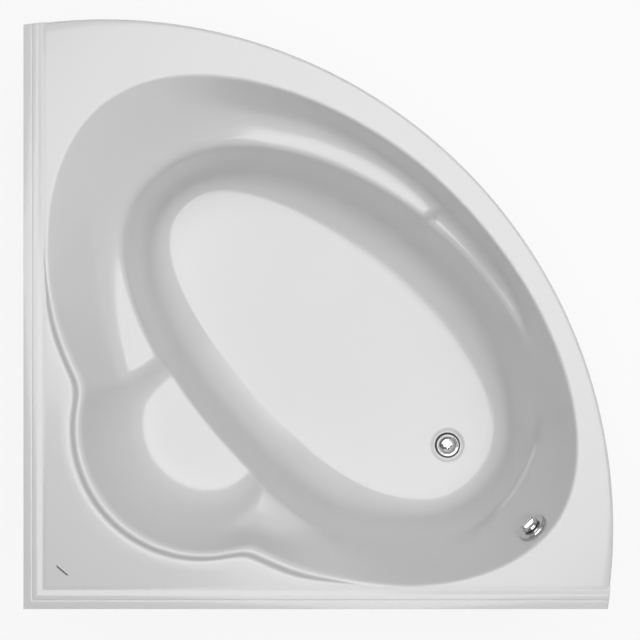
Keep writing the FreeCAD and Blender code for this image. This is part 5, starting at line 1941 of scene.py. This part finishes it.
# ------------------------------------------------------------------------- feet
@dataclass
class Feet:
    """Threaded studs of the five adjustable feet."""

    radius: float = 6.0
    pitch: float = 1.75
    thread: float = 0.95
    thread_steps: int = 16
    thread_shape: tuple[Pair, ...] = ((0.0, 0.0), (0.30, 0.0), (0.48, 1.0), (0.60, 1.0))
    thread_ends: Pair = (1.0, 3.0)
    core_points: int = 32
    core_spare: float = 0.02
    count: int = 5

    def stud(self, number: int) -> bpy.types.Object:
        """Build one stud with a cut thread.

        Args:
            number: the foot's number, from 1.

        Returns:
            The dressed piece.
        """
        node = "foot_stud_%d" % number
        low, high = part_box(node)
        centre = (low + high) * 0.5
        bottom, top = low.z / MM, high.z / MM
        root = self.radius - self.thread
        first, both = self.thread_ends
        steps = self.thread_steps
        turns = int((top - bottom - both) / self.pitch)
        shape = [(rise, mix(root, self.radius, out)) for rise, out in self.thread_shape]
        points = []
        for n in range(turns * steps + 1):
            angle = 2.0 * math.pi * n / steps
            base = bottom + first + self.pitch * n / steps
            for rise, r in shape:
                points.append((centre.x / MM + r * math.cos(angle),
                               centre.y / MM + r * math.sin(angle), base + rise * self.pitch))
        cols = len(shape)
        faces = grid_faces(turns * steps + 1, cols, False)
        for n in range((turns - 1) * steps):
            low, high = n * cols + cols - 1, (n + steps) * cols
            faces.append((low, high, high + cols, low + cols))
        core, core_faces = self.core(centre, bottom, top, root)
        faces += [tuple(i + len(points) for i in face) for face in core_faces]
        piece = make_object("threaded_stud_%d" % number,
                            np.vstack([np.array(points) * MM, core]), faces, ZINC, 25.0)
        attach(piece, "foot_%d" % number)
        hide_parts(node)
        return piece

    def core(self, centre: Vector, bottom: float, top: float,
             root: float) -> tuple[np.ndarray, Faces]:
        """Plain ends and core of a stud.

        Args:
            centre: middle of the stud in metres.
            bottom: lower end in millimetres.
            top: upper end in millimetres.
            root: core radius in millimetres.

        Returns:
            Points in metres and faces.
        """
        full, thin = self.radius, root + self.core_spare
        rings = ((bottom, full - 0.8), (bottom + 0.8, full - 0.1), (bottom + 1.6, thin),
                 (top - 2.4, thin), (top - 1.6, full - 0.1), (top - 1.0, full - 0.1),
                 (top, full - 1.1))
        points = []
        for z, r in rings:
            for k in range(self.core_points):
                turn = 2.0 * math.pi * k / self.core_points
                points.append((centre.x + r * MM * math.cos(turn),
                               centre.y + r * MM * math.sin(turn), z * MM))
        return np.array(points), tube_faces(len(rings), self.core_points)


# --------------------------------------------------------- parts that keep their mesh
KEPT_FINISHES: dict[str, Finish] = {
    "glassfibre_backing": LAMINATE, "base_board": CHIPBOARD, "rim_batten_left": BATTEN_X,
    "rim_batten_right": BATTEN_Y, "rim_batten_front": PLYWOOD, "wall_plates": ZINC,
    "wall_plate_screws": ZINC, "rail_front": FRAME_STEEL, "rail_back": FRAME_STEEL,
    "cross_rail": FRAME_STEEL, "seat_post": FRAME_STEEL, "seat_pad": CHIPBOARD,
    "rail_screws": ZINC, "cross_bolts": ZINC, "foot_nuts": ZINC, "foot_pad": FOOT_PLASTIC,
    "panel_brace": ZINC, "brace_screws": ZINC, "fold_bolts": ZINC, "panel_screws": CHROME,
    "flange_seal": SEAL_RUBBER, "waste_gasket": SEAL_RUBBER, "waste_body": WASTE_PLASTIC,
    "plug_seal": SEAL_RUBBER, "plug_stem": CHROME, "plug_lifter": CHROME,
    "trap_body": WASTE_PLASTIC, "trap_nut": WASTE_PLASTIC, "outlet_nut": WASTE_PLASTIC,
    "outlet_pipe": WASTE_PLASTIC, "overflow_seal": SEAL_RUBBER,
    "overflow_gasket": SEAL_RUBBER, "overflow_body": WASTE_PLASTIC, "knob_spindle": ZINC,
    "hose_nut": WASTE_PLASTIC,
}


def dress_kept_nodes() -> int:
    """Give every CAD node that keeps its mesh its own finish.

    Returns:
        How many nodes were dressed.
    """
    dressed = 0
    for name, node in frame["nodes"].items():
        stem = name.rstrip("0123456789_")
        for part in (name, stem, stem.removesuffix("_top"), stem.removesuffix("_low")):
            if part in KEPT_FINISHES:
                node.data.materials.clear()
                node.data.materials.append(KEPT_FINISHES[part].material())
                dressed += 1
                break
    return dressed


# --------------------------------------------------------------- studio and camera
@dataclass
class Studio:
    """Pale floor, soft lamps, pale surroundings and the camera straight above."""

    floor_half: float = 9.0
    floor_colour: Colour = (0.90, 0.90, 0.90)
    floor_glow: float = 0.86
    sky_low: Colour = (1.0, 1.0, 1.0)
    sky_greys: tuple[Pair, ...] = ((0.22, 0.92), (0.42, 0.30), (0.80, 0.26))
    sky_top: Colour = (0.42, 0.42, 0.43)
    room_light: float = 0.36
    room_mirrored: float = 0.6
    camera_place: Triple = (-0.0154, -0.0024, 3.29)
    lens: float = 64.0
    sensor: float = 36.0

    def floor(self) -> None:
        """Lay the floor, pale in the camera's eye and in reflections."""
        half = self.floor_half
        mesh = bpy.data.meshes.new("studio_floor")
        mesh.from_pydata([(-half, -half, 0.0), (half, -half, 0.0), (half, half, 0.0),
                          (-half, half, 0.0)], [], [(0, 1, 2, 3)])
        floor = link_object("studio_floor", mesh)
        made = bpy.data.materials.new("studio_floor")
        made.use_nodes = True
        desk = Desk(made.node_tree)
        matt = desk.add("BsdfDiffuse", {"Color": (*self.floor_colour, 1.0)})
        glow = desk.add("Emission", {"Color": (1.0, 1.0, 1.0, 1.0), "Strength": 1.0})
        ray = desk.add("LightPath").outputs
        seen = desk.math("MAXIMUM", ray["Is Camera Ray"],
                         desk.math("MAXIMUM", ray["Is Glossy Ray"], ray["Is Transmission Ray"]))
        both = desk.add("MixShader", {0: desk.math("MULTIPLY", seen, self.floor_glow),
                                      1: matt.outputs[0], 2: glow.outputs[0]})
        desk.add("OutputMaterial", {"Surface": both.outputs[0]})
        mesh.materials.append(made)

    def surroundings(self) -> None:
        """Soft room light: pale at the horizon, dimmer overhead."""
        world = bpy.data.worlds.new("studio")
        bpy.context.scene.world = world
        world.use_nodes = True
        desk = Desk(world.node_tree)
        place = desk.add("TexCoord").outputs["Generated"]
        height = desk.add("SeparateXYZ", {0: place}).outputs["Z"]
        ramp = desk.add("ValToRGB", {0: height})
        stops = ramp.color_ramp.elements
        stops[0].position, stops[0].color = 0.0, (*self.sky_low, 1.0)
        stops[1].position, stops[1].color = 1.0, (*self.sky_top, 1.0)
        for level, grey in self.sky_greys:
            stops.new(level).color = (grey, grey, grey, 1.0)
        sky = desk.add("Background", {"Color": ramp.outputs[0], "Strength": 1.0})
        soft = desk.add("Background", {"Color": ramp.outputs[0], "Strength": self.room_light})
        ray = desk.add("LightPath").outputs
        mirrored = desk.math("MULTIPLY", ray["Is Glossy Ray"], self.room_mirrored)
        seen = desk.math("MAXIMUM", ray["Is Camera Ray"], mirrored)
        both = desk.add("MixShader", {0: seen, 1: soft.outputs[0], 2: sky.outputs[0]})
        desk.add("OutputWorld", {"Surface": both.outputs[0]})

    def lamp(self, name: str, place: Triple, aim: Triple, size: Pair, power: float) -> None:
        """Hang one soft lamp.

        Args:
            name: its name.
            place: where it hangs, in metres.
            aim: point that it faces.
            size: its width and depth.
            power: its power in watts.
        """
        light = bpy.data.lights.new(name, "AREA")
        light.shape = "RECTANGLE"
        light.size, light.size_y = size
        light.energy = power
        lamp = link_object(name, light)
        lamp.location = place
        away = (Vector(place) - Vector(aim)).normalized()
        along = Vector((-1.0, -1.0, 0.0)).normalized()
        across = away.cross(along).normalized()
        lamp.rotation_euler = Matrix((along, across, away)).transposed().to_euler()

    def lamps(self) -> None:
        """Hang the overhead lamp and the weaker one over the front."""
        self.lamp("overhead", (0.30, -0.30, 4.2), (0.30, -0.30, 0.0), (4.4, 3.6), 136.0)
        self.lamp("front_key", (1.7, -1.7, 4.0), (0.0, 0.0, 0.4), (2.6, 1.8), 12.0)

    def camera(self) -> None:
        """Set the camera over the bath with the photograph's framing."""
        data = bpy.data.cameras.new("camera")
        data.lens = self.lens
        data.sensor_width = self.sensor
        camera = link_object("camera", data)
        camera.location = self.camera_place
        camera.rotation_euler = (0.0, 0.0, -math.pi / 2.0)
        bpy.context.scene.camera = camera

    def build(self) -> None:
        """Set up the whole studio."""
        self.floor()
        self.surroundings()
        self.lamps()
        self.camera()
        bpy.context.scene.view_settings.view_transform = "Standard"


# ------------------------------------------------------------------------- main
def knob_axis() -> tuple[Vector, Vector]:
    """Centre and axis of the overflow knob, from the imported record.

    Returns:
        The centre in metres and the unit axis.
    """
    joint = next(j for j in frame["joints"] if j["name"] == "knob_turn")
    return Vector(joint["pos_m"]), Vector(joint["axis"]).normalized()


def main() -> None:
    """Build every piece in order and report it."""
    centre, axis = knob_axis()
    Studio().build()
    overflow = Overflow(centre, axis)
    leads = Leads((centre - axis * CUP_BEHIND) / MM, overflow.side)
    outline = RimOutline()
    waste = Waste()
    feet = Feet()
    tub = Tub(BathingSurface(), outline)
    made = [leads.hose(), leads.cable(), tub.build(waste.place(), overflow.place()),
            waste.flange(), waste.plug(), overflow.plate(), overflow.knob(), Badge().build(),
            FrontPanel(outline).build()]
    made += [feet.stud(number) for number in range(1, feet.count + 1)]
    for piece in made:
        LOG.info("built %s", piece.name)
    LOG.info("dressed %d CAD nodes", dress_kept_nodes())


if __name__ == "__main__":
    logging.basicConfig(level=logging.INFO, format="%(name)s: %(message)s")
    main()
